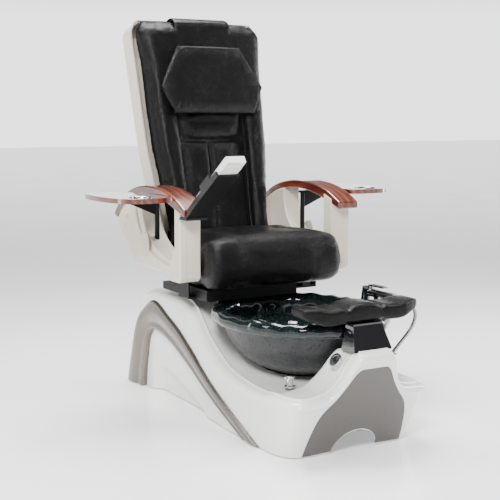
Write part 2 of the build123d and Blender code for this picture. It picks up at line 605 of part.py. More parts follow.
def tray_dish():
    low = TRAY_TOP_Z - DISH_DEPTH
    dish = rod((DISH_X, DISH_Y, low), (DISH_X, DISH_Y, TRAY_TOP_Z + 1.5), DISH_R)
    dish += rod((DISH_X, DISH_Y, TRAY_TOP_Z), (DISH_X, DISH_Y, TRAY_TOP_Z + 1.5), DISH_R + 5)
    dish -= rod((DISH_X, DISH_Y, low + 1.5), (DISH_X, DISH_Y, TRAY_TOP_Z + 2), DISH_R - 1.5)
    return dish


def tray_arm():
    arm_z = TRAY_TOP_Z - TRAY_T
    arm = rod((TRAY_POST_X, TRAY_POST_Y, TRAY_SOCKET_Z), (TRAY_POST_X, TRAY_POST_Y, arm_z), TRAY_POST_R)
    arm += block(TRAY_POST_X - TRAY_POST_R, TRAY_POST_X + 200, TRAY_POST_Y - 16, TRAY_POST_Y + 16, arm_z - 9, arm_z)
    gusset = polygon([(TRAY_POST_X + 6, arm_z - 5), (TRAY_POST_X + 150, arm_z - 5), (TRAY_POST_X + 6, arm_z - 66)])
    blade = Plane(origin=(0, TRAY_POST_Y + 3, 0), x_dir=(1, 0, 0), z_dir=(0, -1, 0)) * gusset
    return arm + extrude(blade, 6)


for name, piece in (("tray", tray_board()), ("tray_dish", tray_dish()), ("tray_arm", tray_arm())):
    save(f"{name}_left", piece)
    save(f"{name}_right", mirrored(piece))

# ---------------------------------------------------------------- remote and holder
# holder frame: X across, Y up the slope, Z off the slope towards the sitter
holder_place = Pos(HOLDER_X, HOLDER_Y, HOLDER_Z) * Rot(X=180 - HOLDER_RISE) * Rot(Y=180)
wall_top = HOLDER_T + REMOTE_T * 0.6
channel = block(-HOLDER_HALF, HOLDER_HALF, 0, HOLDER_LEN, 0, HOLDER_T)
channel += block(-HOLDER_HALF, HOLDER_HALF, REMOTE_START - 8, REMOTE_START - GAP, 0, wall_top)
for side in (-1, 1):
    low_x, high_x = sorted((side * (REMOTE_HALF + GAP), side * HOLDER_HALF))
    channel += block(low_x, high_x, 30, HOLDER_LEN - 4, 0, wall_top)
    channel += block(low_x, high_x, *CLIP_Y, 0, HOLDER_T + REMOTE_T + 8)
    lip_x0, lip_x1 = sorted((side * (REMOTE_HALF - 9), side * HOLDER_HALF))
    channel += block(lip_x0, lip_x1, *CLIP_Y, HOLDER_T + REMOTE_T + GAP, HOLDER_T + REMOTE_T + 8)
holder = holder_place * channel
foot_z = HOLDER_Z + 2.5
foot_half = HOLDER_HALF - 2
holder += block(HOLDER_X - foot_half, HOLDER_X + foot_half, HOLDER_Y - 6, POST_FRONT_Y - GAP, foot_z - 8, foot_z)
holder -= side_prism(wood_face(), -WOOD_OUT - 5, -WOOD_IN + 5)
save("remote_holder", holder)

face_z = HOLDER_T + REMOTE_T
handset = block(-REMOTE_HALF, REMOTE_HALF, REMOTE_START, REMOTE_START + REMOTE_LEN, HOLDER_T + GAP, face_z)
key_spots = {"remote_power_key": (0.0, 312.0, 7.0), "remote_up_key": (-14.0, 285.0, 6.0),
             "remote_down_key": (14.0, 285.0, 6.0)}
for x, y, radius in key_spots.values():
    handset -= rod((x, y, face_z - KEY_WELL), (x, y, face_z + 1), radius + 0.2)
save("remote", holder_place * handset)
for name, (x, y, radius) in key_spots.items():
    key = rod((x, y, face_z - KEY_WELL + KEY_TRAVEL + GAP), (x, y, face_z + 1.5), radius)
    save(name, holder_place * key)

# ---------------------------------------------------------------- back
# back frame of reference: X across, Y rearwards through the back, Z up the back from the pivot
back_place = Pos(0, PIVOT_Y, PIVOT_Z) * Rot(X=-BACK_LEAN)


def back_outline(inset):
    low = BACK_HALF_LOW - inset
    mid = BACK_HALF_MID - inset
    top = BACK_HALF_TOP - inset
    base = BACK_LOW_S + inset
    crown = BACK_TOP_S - inset
    corners = [(-low, base), (low, base), (mid, 470), (top, crown), (-top, crown), (-mid, 470)]
    path = FilletPolyline(*corners, close=True, radius=[30, 30, 400, 62, 62, 400])
    return make_face(path)


def back_slab(inset, n0, n1):
    plane = Plane(origin=(0, n0, 0), x_dir=(1, 0, 0), z_dir=(0, -1, 0))
    return extrude(plane * back_outline(inset), -(n1 - n0))


save("back_cushion", back_place * back_slab(2, BACK_FRONT_N, BACK_PAD_N - GAP))

tub = back_slab(0, BACK_PAD_N, BACK_SHELL_N)
tub -= back_slab(BACK_SHELL_T, BACK_PAD_N - 1, BACK_SHELL_N - BACK_SHELL_T)
tub -= block(-EAR_X - EAR_T - 6, EAR_X + EAR_T + 6, 0, BACK_SHELL_N - 20, 0, BACK_LOW_S + 30)
save("back_shell", back_place * tub)

tube = 25.0
ribs = None
for side in (-1, 1):
    x0, x1 = sorted((side * EAR_X, side * (EAR_X + EAR_T)))
    ear = side_prism(polygon([(-16, -16), (16, -16), (78, 48), (78, 160), (52, 160), (52, 72), (-16, 14)]), x0, x1)
    rail = block(*sorted((side * (EAR_X - tube), side * EAR_X)), 52, 52 + tube, 60, BACK_TOP_S - 60)
    ribs = ear + rail if ribs is None else ribs + ear + rail
for z in (130, BACK_TOP_S - 85):
    ribs += block(-EAR_X, EAR_X, 52, 52 + tube, z, z + tube)
    ribs += block(-GUIDE_X - 14, GUIDE_X + 14, 52, GUIDE_N + 14, z, z + tube)
for x in (-GUIDE_X, GUIDE_X):
    ribs += rod((x, GUIDE_N, 140), (x, GUIDE_N, BACK_TOP_S - 70), GUIDE_R)
ribs += rod((-EAR_X, 0, 0), (EAR_X, 0, 0), 13)
ribs = back_place * ribs
ribs += block(-LEVER_T / 2, LEVER_T / 2, PIVOT_Y - 9, PIVOT_Y + 9, PIVOT_Z - LEVER_DROP - 7, PIVOT_Z)
ribs -= rod((-400, PIVOT_Y, PIVOT_Z), (-EAR_X + 8, PIVOT_Y, PIVOT_Z), PIN_R + FIT)
ribs -= rod((EAR_X - 8, PIVOT_Y, PIVOT_Z), (400, PIVOT_Y, PIVOT_Z), PIN_R + FIT)
save("back_frame", ribs)

car = block(-GUIDE_X - 20, GUIDE_X + 20, GUIDE_N - 14, GUIDE_N + 14, ROLLER_S - 40, ROLLER_S + 40)
for x in (-GUIDE_X, GUIDE_X):
    car -= rod((x, GUIDE_N, ROLLER_S - 41), (x, GUIDE_N, ROLLER_S + 41), GUIDE_R + FIT)
for x in (-98, 86):
    car += block(x, x + 12, 58, GUIDE_N - 13, ROLLER_S - 18, ROLLER_S + 18)
car -= block(-70, 70, 60, GUIDE_N + 4, ROLLER_S - 25, ROLLER_S + 25)
car -= rod((-200, ROLLER_N, ROLLER_S), (200, ROLLER_N, ROLLER_S), ROLLER_AXLE_R + FIT)
save("massage_carriage", back_place * car)

rollers = rod((-97, ROLLER_N, ROLLER_S), (97, ROLLER_N, ROLLER_S), ROLLER_AXLE_R)
for x in (-62, 28):
    wheel = rod((x, ROLLER_N, ROLLER_S), (x + 34, ROLLER_N, ROLLER_S), ROLLER_R)
    rollers += fillet(wheel.edges().filter_by(GeomType.CIRCLE), 7)
save("massage_rollers", back_place * rollers)

pillow_face = polygon([(-167, 590), (167, 590), (222, 694), (136, 866), (-136, 866), (-222, 694)])
pillow_plane = Plane(origin=(0, BACK_FRONT_N - GAP, 0), x_dir=(1, 0, 0), z_dir=(0, -1, 0))
pillow = extrude(pillow_plane * pillow_face, PILLOW_T)
save("head_pillow", back_place * pillow)

# ---------------------------------------------------------------- footrest
def pedestal():
    low = Plane.XY.offset(NOSE_Z) * Pos(0, (NOSE_FRONT_Y + PEDESTAL_REAR_Y) / 2) * Rectangle(
        2 * PEDESTAL_HALF - 4, PEDESTAL_REAR_Y - NOSE_FRONT_Y)
    high = Plane.XY.offset(HEAD_PLATE_Z) * Pos(0, (PEDESTAL_TOP_FRONT_Y + PEDESTAL_REAR_Y) / 2) * Rectangle(
        2 * PEDESTAL_TOP_HALF, PEDESTAL_REAR_Y - PEDESTAL_TOP_FRONT_Y)
    tower = loft([low, high])
    tower += block(-PEDESTAL_TOP_HALF, PEDESTAL_TOP_HALF, PEDESTAL_TOP_FRONT_Y, HEAD_PLATE_REAR_Y, HEAD_PLATE_Z,
                   HEAD_PLATE_Z + HEAD_PLATE_T)
    return tower


save("footrest_pedestal", pedestal())

rest_z = HEAD_PLATE_Z + HEAD_PLATE_T + GAP
rest_top = rest_z + REST_H
rest_crests = [(REST_HALF, rest_top), (150, rest_top + 12), (90, rest_top - 6), (0, rest_top + 10)]
rest_crests += [(-x, z) for x, z in reversed(rest_crests[:-1])]
rest_face = polygon([(-REST_HALF, rest_z + 6), (-REST_HALF + 40, rest_z), (REST_HALF - 40, rest_z),
                     (REST_HALF, rest_z + 6)] + rest_crests)
rest_plane = Plane(origin=(0, REST_Y - REST_DEPTH / 2, 0), x_dir=(1, 0, 0), z_dir=(0, -1, 0))
save("footrest_cushion", extrude(rest_plane * rest_face, -REST_DEPTH))

# ---------------------------------------------------------------- faucets, button, sprayer
def faucet(x, y, z, turn):
    """A deck valve: body, stem for its lever, and a short nozzle."""
    body = rod((0, 0, 0), (0, 0, 5), FAUCET_R)
    body += rod((0, 0, 0), (0, 0, 26), FAUCET_R - 6)
    body += rod((0, 0, 14), (30, 0, 14), 6)
    body -= rod((0, 0, 12), (0, 0, 27), 6 + FIT)
    return Pos(x, y, z) * Rot(Z=turn) * body


def lever(x, y, z, turn):
    """The turning part: a stem in the body, a cap and a cross bar."""
    knob = rod((0, 0, 12.5), (0, 0, 27), 6)
    knob += rod((0, 0, 26.5), (0, 0, 38), FAUCET_R - 6)
    knob += rod((-LEVER_HALF, 0, 33), (LEVER_HALF, 0, 33), 4)
    return Pos(x, y, z) * Rot(Z=turn) * knob


save("mixer_body", faucet(MIXER[0], MIXER[1], MIXER_Z, 60))
save("mixer_lever", lever(MIXER[0], MIXER[1], MIXER_Z, 10))
save("fill_valve_body", faucet(VALVE[0], VALVE[1], VALVE_Z, 120))
save("fill_valve_lever", lever(VALVE[0], VALVE[1], VALVE_Z, -10))

bezel = ring(along_button(0), along_button(6), BUTTON_R + 8, BUTTON_R + 0.2)
bezel += ring(along_button(-26), along_button(0), BUTTON_R + 1 - GAP, BUTTON_R + 0.2 - 3)
bezel -= rod(along_button(-6), along_button(10), BUTTON_R + 0.2)
save("button_bezel", bezel)
save("jet_button", rod(along_button(-2), along_button(5), BUTTON_R))

cradle_z = SPRAYER_Z - SPRAYER_R - 2
dock = rod((DOCK[0], DOCK[1], BOWL_LIP_Z - 24), (DOCK[0], DOCK[1], cradle_z), DOCK_R)
dock += rod((DOCK[0], DOCK[1], BOWL_LIP_Z + 8), (DOCK[0], DOCK[1], BOWL_LIP_Z + 12), DOCK_R + 6)
dock += rod((DOCK[0], DOCK[1], BOWL_LIP_Z - 20), (DOCK[0], DOCK[1], BOWL_LIP_Z - 12), DOCK_R + 4)
saddle = block(DOCK[0] - 22, DOCK[0] + 22, DOCK[1] - 14, DOCK[1] + 14, cradle_z - 4, SPRAYER_Z)
saddle -= rod((DOCK[0], DOCK[1] - 20, SPRAYER_Z), (DOCK[0], DOCK[1] + 20, SPRAYER_Z), SPRAYER_R + GAP)
save("sprayer_dock", dock + saddle)

tail_y = DOCK[1] - 95
head_y = DOCK[1] + 70
handle = rod((DOCK[0], tail_y + 20, SPRAYER_Z), (DOCK[0], head_y, SPRAYER_Z), SPRAYER_R)
handle += rod((DOCK[0], tail_y, SPRAYER_Z), (DOCK[0], tail_y + 21, SPRAYER_Z), 9)
handle += rod((DOCK[0], head_y + 12, SPRAYER_Z - 28), (DOCK[0], head_y + 4, SPRAYER_Z + 16), 21)
handle += block(DOCK[0] - 5, DOCK[0] + 5, head_y - 24, head_y - 8, SPRAYER_Z + 10, SPRAYER_Z + 24)
handle -= rod((DOCK[0] - 10, head_y - 16, SPRAYER_Z + 19), (DOCK[0] + 10, head_y - 16, SPRAYER_Z + 19), 2.5)
save("sprayer", handle)

thumb = rod((DOCK[0] - 12, head_y - 16, SPRAYER_Z + 19), (DOCK[0] + 12, head_y - 16, SPRAYER_Z + 19), 2.5 - FIT)
for x0, x1 in ((-12, -5.4), (5.4, 12)):
    thumb += block(DOCK[0] + x0, DOCK[0] + x1, head_y - 20, head_y - 12, SPRAYER_Z + 16, SPRAYER_Z + 28)
thumb += block(DOCK[0] - 12, DOCK[0] + 12, head_y - 96, head_y - 12, SPRAYER_Z + 25, SPRAYER_Z + 29)
save("sprayer_lever", thumb)

# ---------------------------------------------------------------- hose
HOSE_COLLAR_H = 18.0
HOSE_ROUTE = [(HOSE_EXIT[0], HOSE_EXIT[1], HOSE_EXIT[2] + HOSE_COLLAR_H), (226, -458, HOSE_EXIT[2] + 48),
              (229, -486, HOSE_EXIT[2] + 81), (237, -520, HOSE_EXIT[2] + 123), (248, -553, SPRAYER_Z - 94),
              (254, -570, SPRAYER_Z - 48), (248, -560, SPRAYER_Z - 13), (DOCK[0], -530, SPRAYER_Z),
              (DOCK[0], tail_y, SPRAYER_Z)]


def route_radii(points):
    radii = []
    for a, b, c in zip(points, points[1:], points[2:]):
        first = Vector(*b) - Vector(*a)
        second = Vector(*c) - Vector(*b)
        turn = radians(first.get_angle(second))
        radii.append(0.45 * min(first.length, second.length) / tan(turn / 2))
    return radii


hose_radii = route_radii(HOSE_ROUTE)
hose_path = FilletPolyline(*HOSE_ROUTE, radius=hose_radii)
hose_plane = Plane(origin=HOSE_ROUTE[0], z_dir=Vector(*HOSE_ROUTE[1]) - Vector(*HOSE_ROUTE[0]))
hose = sweep(hose_plane * Circle(HOSE_R), path=hose_path)
save("spray_hose", hose)
collar = ring((HOSE_EXIT[0], HOSE_EXIT[1], DECK_Z - 14), HOSE_EXIT, HOSE_R + 4 - FIT, HOSE_R - 2)
collar += ring(HOSE_EXIT, HOSE_ROUTE[0], HOSE_R + 7, HOSE_R - 2)
save("hose_collar", collar)

# ---------------------------------------------------------------- control box
BOX_Y = (280.0, 400.0)
BOX_Z = (FRAME_LOW + 3, FRAME_LOW + 93)
BOX_W = 105.0
BOX_WALL = 3.0
box_x = -FRAME_HALF + half_tube
box = block(box_x, box_x + BOX_W, *BOX_Y, *BOX_Z)
box -= block(box_x + BOX_WALL, box_x + BOX_W - BOX_WALL, BOX_Y[0] + BOX_WALL, BOX_Y[1] - BOX_WALL,
             BOX_Z[0] + BOX_WALL, BOX_Z[1] - BOX_WALL)
save("control_box", box)
gland_y = BASE_REAR_Y - BASE_LEAN * GLAND[1]
gland = ring((GLAND[0], gland_y - 30, GLAND[1]), (GLAND[0], gland_y + 8, GLAND[1]), GLAND_R, 5)
save("cable_gland", gland)
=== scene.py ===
# %% [markdown]
# # A pedicure spa chair
# A salon chair has three families of surface: a moulded white hull that holds a glass foot bowl, soft black
# leather pads, and trim in lacquered wood, chrome and cream plastic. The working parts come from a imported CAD
# model, which stays as it is. Each cell below builds one visible piece around it, or one finish.

import json
import math

import bmesh
import bpy
import numpy as np
from mathutils import Matrix, Vector


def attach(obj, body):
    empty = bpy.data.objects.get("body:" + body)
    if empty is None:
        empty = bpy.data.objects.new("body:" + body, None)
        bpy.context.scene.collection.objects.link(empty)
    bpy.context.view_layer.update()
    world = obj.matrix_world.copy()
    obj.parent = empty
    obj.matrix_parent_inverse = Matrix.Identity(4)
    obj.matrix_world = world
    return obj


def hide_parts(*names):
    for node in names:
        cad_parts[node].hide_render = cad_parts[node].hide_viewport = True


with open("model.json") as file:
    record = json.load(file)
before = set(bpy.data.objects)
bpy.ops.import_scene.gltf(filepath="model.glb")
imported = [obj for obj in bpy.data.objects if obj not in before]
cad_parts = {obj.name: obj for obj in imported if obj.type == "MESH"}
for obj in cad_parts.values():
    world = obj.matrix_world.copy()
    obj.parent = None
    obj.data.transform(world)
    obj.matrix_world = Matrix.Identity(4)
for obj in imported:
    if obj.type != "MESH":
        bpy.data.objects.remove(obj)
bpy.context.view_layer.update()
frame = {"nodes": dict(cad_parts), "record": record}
scene = bpy.context.scene
MM = 0.001


# %% [markdown]
# ## Shader sums written as Python
# A finish is a small calculation: grain plus pores, or a mask that picks between two colours. Wrapping an
# output socket in a class with + - and * lets such a calculation be written on one line. Each sign adds a Math
# node.

# %% A socket that can be used in sums
class Wire:
    """An output socket of a finish's node tree. Arithmetic on it adds Math nodes."""

    def __init__(self, finish, socket):
        self.finish = finish
        self.socket = socket

    def maths(self, operation, *values):
        return self.finish.node("ShaderNodeMath", {"operation": operation}, dict(enumerate(values)))

    def __add__(self, other):
        return self.maths("ADD", self, other)

    def __sub__(self, other):
        return self.maths("SUBTRACT", self, other)

    def __mul__(self, other):
        return self.maths("MULTIPLY", self, other)

    def __rsub__(self, other):
        return self.maths("SUBTRACT", other, self)

    __radd__ = __add__
    __rmul__ = __mul__

    def absolute(self):
        return self.maths("ABSOLUTE", self)

    def step(self, low, high):
        """0 below low, 1 above high, and an even curve between them."""
        return self.finish.node("ShaderNodeMapRange", {"interpolation_type": "SMOOTHSTEP"},
                                {"Value": self, "From Min": low, "From Max": high})


# %% A finish: one Principled shader and the nodes that feed it
class Finish:
    """A procedural material. Fixed numbers go straight on the shader's sockets."""

    def __init__(self, name, colour, roughness, **fixed):
        self.material = bpy.data.materials.new(name)
        self.material.use_nodes = True
        self.tree = self.material.node_tree
        self.shader = self.tree.nodes["Principled BSDF"]
        self.shader.inputs["Base Color"].default_value = (*colour, 1)
        self.shader.inputs["Roughness"].default_value = roughness
        self.material.diffuse_color = (*colour, 1)
        for socket, value in fixed.items():
            self.shader.inputs[socket.replace("_", " ")].default_value = value

    def node(self, kind, settings=None, inputs=None, output=0):
        """Adds any node: its settings first, then a value or a link for each named socket."""
        made = self.tree.nodes.new(kind)
        for key, value in (settings or {}).items():
            if key == "stops":
                while len(made.color_ramp.elements) < len(value):
                    made.color_ramp.elements.new(1.0)
                for element, (place, colour) in zip(made.color_ramp.elements, value):
                    element.position = place
                    element.color = (*colour, 1)
            else:
                setattr(made, key, value)
        for key, value in (inputs or {}).items():
            if isinstance(value, Wire):
                self.tree.links.new(value.socket, made.inputs[key])
            elif value is not None:
                made.inputs[key].default_value = value
        return Wire(self, made.outputs[output])

    def put(self, socket, wire):
        self.tree.links.new(wire.socket, self.shader.inputs[socket])

    def place(self, scale=(1, 1, 1), turn=(0, 0, 0), shift=(0, 0, 0)):
        """Object coordinates in metres, moved, turned and stretched."""
        here = self.node("ShaderNodeTexCoord", output="Object")
        moved = {"Vector": here, "Location": shift, "Rotation": turn, "Scale": scale}
        return self.node("ShaderNodeMapping", None, moved)

    def axis(self, name, where):
        return self.node("ShaderNodeSeparateXYZ", None, {0: where}, name)

    def noise(self, scale, detail=3.0, roughness=0.5, where=None, distortion=0.0):
        inputs = {"Vector": where or self.place(), "Scale": scale, "Detail": detail, "Roughness": roughness,
                  "Distortion": distortion}
        return self.node("ShaderNodeTexNoise", None, inputs)

    def cells(self, scale, feature="F1", where=None, randomness=1.0, output="Distance"):
        inputs = {"Vector": where or self.place(), "Scale": scale, "Randomness": randomness}
        return self.node("ShaderNodeTexVoronoi", {"feature": feature}, inputs, output)

    def tones(self, scale, detail, low, high):
        """Lets the colour drift between two tones."""
        self.put("Base Color", self.mix(self.noise(scale, detail), low, high))

    def painted(self, name):
        """A number stored on the mesh's points."""
        return self.node("ShaderNodeAttribute", {"attribute_name": name}, None, "Fac")

    def mix(self, factor, low, high):
        """A colour between two colours."""
        low = (*low, 1) if isinstance(low, tuple) else low
        high = (*high, 1) if isinstance(high, tuple) else high
        return self.node("ShaderNodeMix", {"data_type": "RGBA"}, {0: factor, 6: low, 7: high}, 2)

    def ramp(self, factor, *stops):
        return self.node("ShaderNodeValToRGB", {"stops": stops}, {"Fac": factor}, "Color")

    def bump(self, height, distance, strength=1.0, under=None):
        inputs = {"Height": height, "Distance": distance, "Strength": strength, "Normal": under}
        return self.node("ShaderNodeBump", None, inputs, "Normal")


FINISHES = {}


def keep(slot, finish):
    """Remembers the finish under the record's name for it."""
    FINISHES[slot] = finish.material
    return finish


# %% [markdown]
# ## Gelcoat, the white skin of the hull
# Glass-fibre hulls are sprayed into a polished mould, so the skin is glossy but never quite flat: a slow
# ripple shows only in the reflections. A clear coat over a nearly white base gives a sharp highlight.

# %% Gelcoat
gelcoat = keep("gelcoat_white", Finish("gelcoat", (0.78, 0.78, 0.76), 0.32, Coat_Weight=0.5,
                                       Coat_Roughness=0.08))
ripple = gelcoat.noise(9.0, 2.0)
speck = gelcoat.noise(900.0, 1.0)
gelcoat.tones(3.0, 2.0, (0.75, 0.75, 0.73), (0.82, 0.82, 0.80))
gelcoat.put("Roughness", 0.26 + 0.10 * gelcoat.noise(40.0, 3.0))
gelcoat.put("Normal", gelcoat.bump(ripple + 0.01 * speck, 0.0012, 0.35))

# %% [markdown]
# ## Champagne trim
# The arched side trim is plastic with a metallic lacquer: fine flakes in a warm grey base. The flakes are
# tiny cells whose brightness varies a little, so that the band glitters instead of looking like plain metal.

# %% Metallic lacquer
trim = keep("trim_champagne", Finish("champagne lacquer", (0.34, 0.31, 0.27), 0.3, Metallic=0.85,
                                     Coat_Weight=0.3, Coat_Roughness=0.15))
flake = trim.cells(1500.0, output="Color")
trim.put("Base Color", trim.mix(trim.axis("X", flake), (0.105, 0.093, 0.078), (0.190, 0.170, 0.144)))
trim.put("Roughness", 0.20 + 0.12 * trim.noise(300.0, 2.0))
trim.put("Normal", trim.bump(trim.noise(14.0, 2.0), 0.0008, 0.3))

# %% [markdown]
# ## Warm grey front panel
# The kick panel is a satin sheet with a faint fine texture that hides shoe marks.

# %% Panel grey
panel_grey = keep("panel_grey", Finish("panel grey", (0.150, 0.142, 0.132), 0.45, Metallic=0.15))
panel_grey.tones(5.0, 4.0, (0.074, 0.068, 0.062), (0.094, 0.087, 0.080))
panel_grey.put("Roughness", 0.40 + 0.14 * panel_grey.noise(60.0, 4.0))
panel_grey.put("Normal", panel_grey.bump(panel_grey.noise(1400.0, 2.0), 0.0002, 0.5))

# %% [markdown]
# ## Bowl glass
# The foot bowl is cast glass. Its rim and inside are glossy black with teal chips, like a mosaic, and transverse
# ripples. Its outside was cast against sand, so it is grey, satin and full of small pits, which are painted
# darker than the grey as painted shade.

# %% Bowl: mosaic inside, pitted outside
bowl_glass = keep("bowl_glass", Finish("bowl glass", (0.02, 0.03, 0.032), 0.1, Specular_IOR_Level=0.3,
                                       Coat_Weight=0.3, Coat_Roughness=0.03))
outside = bowl_glass.painted("outside")
chips = bowl_glass.noise(160.0, 6.0, 0.75, distortion=0.6)
mosaic = bowl_glass.ramp(chips, (0.45, (0.002, 0.003, 0.003)), (0.56, (0.006, 0.013, 0.015)),
                         (0.66, (0.022, 0.040, 0.045)), (0.78, (0.07, 0.10, 0.105)))
cast_grey = bowl_glass.mix(bowl_glass.noise(28.0, 5.0, 0.7), (0.007, 0.007, 0.008), (0.034, 0.035, 0.037))
pits = bowl_glass.cells(75.0, where=bowl_glass.place((1, 1, 0.55)))
pit_depth_and_shade = pits.step(0.30, 0.16)
ripples = bowl_glass.noise(22.0, 2.0, 0.4, where=bowl_glass.place((1, 1, 0.3)))
# painted shade: each pit is coloured darker than the cast grey round it, where the bump sinks it
pitted = bowl_glass.mix(pit_depth_and_shade, cast_grey, (0.012, 0.012, 0.013))
bowl_glass.put("Base Color", bowl_glass.mix(outside, mosaic, pitted))
bowl_glass.put("Roughness", 0.05 + outside * (0.24 + 0.2 * bowl_glass.noise(90.0, 4.0)))
bowl_glass.put("Coat Weight", 0.32 - outside * 0.22)
inner_bump = bowl_glass.bump(ripples * (1 - outside), 0.012, 0.35)
cast_skin = outside * (bowl_glass.noise(55.0, 5.0, 0.65) - pit_depth_and_shade * 0.6)
bowl_glass.put("Normal", bowl_glass.bump(cast_skin, 0.004, 0.75, inner_bump))

# %% [markdown]
# ## Leather
# Upholstery leather has three scales: a pebbled grain of about a millimetre, soft creases of a few
# centimetres, and gathers that run square to the seams where the foam pulls. The grain is cells, the creases
# are stretched noise.
# A seam's distance is painted on the mesh, so gathers and stitches can follow it round the pad.

# %% Leather
leather = keep("leather_black", Finish("black leather", (0.006, 0.006, 0.006), 0.42, Specular_IOR_Level=0.13))
grain = leather.cells(620.0, "DISTANCE_TO_EDGE").step(0.0, 0.16)
pores = leather.noise(1500.0, 2.0)
creases = leather.noise(16.0, 3.0, 0.55, where=leather.place((0.6, 1.0, 1.6)))
seam_gap = leather.painted("seam_gap")
seam_run = leather.painted("seam_run")
near_seam = seam_gap.step(0.055, 0.004)
gathers = leather.node("ShaderNodeTexNoise", {"noise_dimensions": "1D"},
                       {"W": seam_run * 55.0, "Detail": 2.0})
stitch_row = (seam_gap - 0.0075).absolute().step(0.0014, 0.0004)
stitch_dash = seam_run.maths("PINGPONG", seam_run, 0.0042).step(0.0006, 0.0014)
leather.tones(7.0, 4.0, (0.0022, 0.0022, 0.0023), (0.0045, 0.0044, 0.0043))
leather.put("Roughness", 0.26 + 0.10 * leather.noise(30.0, 4.0) - 0.05 * grain)
soft = leather.bump(creases + near_seam * gathers * 0.5, 0.010, 0.45)
sewn = leather.bump(stitch_row * stitch_dash, 0.0012, 0.8, soft)
leather.put("Normal", leather.bump(grain + 0.3 * pores, 0.00022, 0.55, sewn))

# %% [markdown]
# ## Lacquered cherry
# The arm tops and trays are cherry veneer under a thick gloss. Growth rings are stretched bands bent by noise,
# fine pores run along the length, and a clear coat lies over both.

# %% Wood
wood = keep("wood_cherry", Finish("lacquered cherry", (0.16, 0.035, 0.012), 0.28, Coat_Weight=1.0,
                                  Coat_Roughness=0.05))
along = wood.place((5.0, 0.9, 5.0))
rings = wood.node("ShaderNodeTexWave", {"wave_type": "BANDS", "bands_direction": "X"},
                  {"Vector": along, "Scale": 2.2, "Distortion": 7.0, "Detail": 3.0, "Detail Scale": 1.6},
                  "Fac")
fibres = wood.noise(60.0, 4.0, 0.6, where=wood.place((6.0, 0.35, 6.0)))
tone = 0.6 * rings + 0.4 * fibres
wood.put("Base Color", wood.ramp(tone, (0.15, (0.040, 0.006, 0.003)), (0.5, (0.095, 0.016, 0.006)),
                                 (0.85, (0.165, 0.036, 0.011))))
wood.put("Roughness", 0.22 + 0.16 * fibres)
wood.put("Normal", wood.bump(fibres, 0.00025, 0.35))

# %% [markdown]
# ## Moulded plastics
# The casings, the remote and its holder are injection moulded. Each has a fine spark-eroded texture. Only the
# colour, the gloss and the size of that texture change, so one function makes them all.

# %% Plastics, from one function
def plastic(slot, low, high, roughness, grain_scale, depth, **fixed):
    """A moulded plastic whose tone drifts between two colours under a fine texture."""
    made = keep(slot, Finish(slot.replace("_", " "), low, roughness, **fixed))
    made.tones(6.0, 3.0, low, high)
    made.put("Roughness", roughness - 0.05 + 0.1 * made.noise(45.0, 3.0))
    made.put("Normal", made.bump(made.noise(grain_scale, 3.0), depth, 0.5))


plastic("casing_cream", (0.56, 0.50, 0.42), (0.62, 0.56, 0.475), 0.36, 900.0, 0.0002, Coat_Weight=0.15)
plastic("plate_cream", (0.50, 0.46, 0.36), (0.55, 0.51, 0.41), 0.42, 900.0, 0.0001)
plastic("remote_white", (0.70, 0.70, 0.68), (0.78, 0.78, 0.76), 0.28, 1200.0, 0.0001, Coat_Weight=0.3)
plastic("key_grey", (0.20, 0.20, 0.21), (0.25, 0.25, 0.26), 0.5, 1200.0, 0.0002)
plastic("black_plastic", (0.005, 0.005, 0.005), (0.009, 0.009, 0.009), 0.34, 1100.0, 0.0002,
        Specular_IOR_Level=0.25)
plastic("rubber_black", (0.012, 0.012, 0.012), (0.022, 0.022, 0.022), 0.75, 1500.0, 0.0003)
plastic("pipe_grey", (0.25, 0.26, 0.27), (0.31, 0.32, 0.33), 0.5, 700.0, 0.0002)
plastic("jet_plastic", (0.55, 0.56, 0.57), (0.64, 0.65, 0.66), 0.3, 1200.0, 0.0001, Coat_Weight=0.3)
plastic("steel_black", (0.004, 0.004, 0.004), (0.007, 0.007, 0.007), 0.42, 1800.0, 0.0004,
        Specular_IOR_Level=0.15)
plastic("black_mirror", (0.004, 0.004, 0.005), (0.006, 0.006, 0.007), 0.09, 8.0, 0.0006, Coat_Weight=1.0)

# %% [markdown]
# ## Metals
# Chrome is almost a mirror, but polished castings keep a slow unevenness. The rods are ground steel. The
# hose is a strip of steel wound in a helix, so its bump is a wave that follows the tube's length in its UV.
# The same wave paints shade into the colour: dark in the grooves between windings, bright on the ridges.

# %% Chrome, ground steel and wound hose
chrome = keep("chrome", Finish("chrome", (0.58, 0.58, 0.59), 0.06, Metallic=1.0))
chrome.put("Roughness", 0.04 + 0.08 * chrome.noise(35.0, 4.0))
chrome.put("Normal", chrome.bump(chrome.noise(30.0, 2.0), 0.0008, 0.15))
steel = keep("steel_bright", Finish("ground steel", (0.55, 0.55, 0.56), 0.25, Metallic=1.0))
steel.put("Roughness", 0.18 + 0.2 * steel.noise(260.0, 3.0, where=steel.place((1, 0.05, 1))))
steel.put("Normal", steel.bump(steel.noise(900.0, 2.0, where=steel.place((1, 0.05, 1))), 0.0001, 0.4))
hose_steel = keep("hose_steel", Finish("wound hose", (0.62, 0.62, 0.63), 0.2, Metallic=1.0))
hose_run = hose_steel.axis("X", hose_steel.node("ShaderNodeTexCoord", output="UV"))
strip = hose_run.maths("PINGPONG", hose_run * 60.0, 0.5) * 2.0
# painted shade: the steel's colour goes dark in the grooves between windings and bright on the ridges
hose_steel.put("Base Color", hose_steel.mix(strip, (0.10, 0.10, 0.105), (0.68, 0.68, 0.69)))
hose_steel.put("Roughness", 0.32 - 0.16 * strip)
hose_steel.put("Normal", hose_steel.bump(strip, 0.0012, 0.9))

# %% [markdown]
# ## Dress the CAD nodes
# Every node of the frame takes the finish that the record names for it. Pieces built later hide the nodes
# that they stand for.

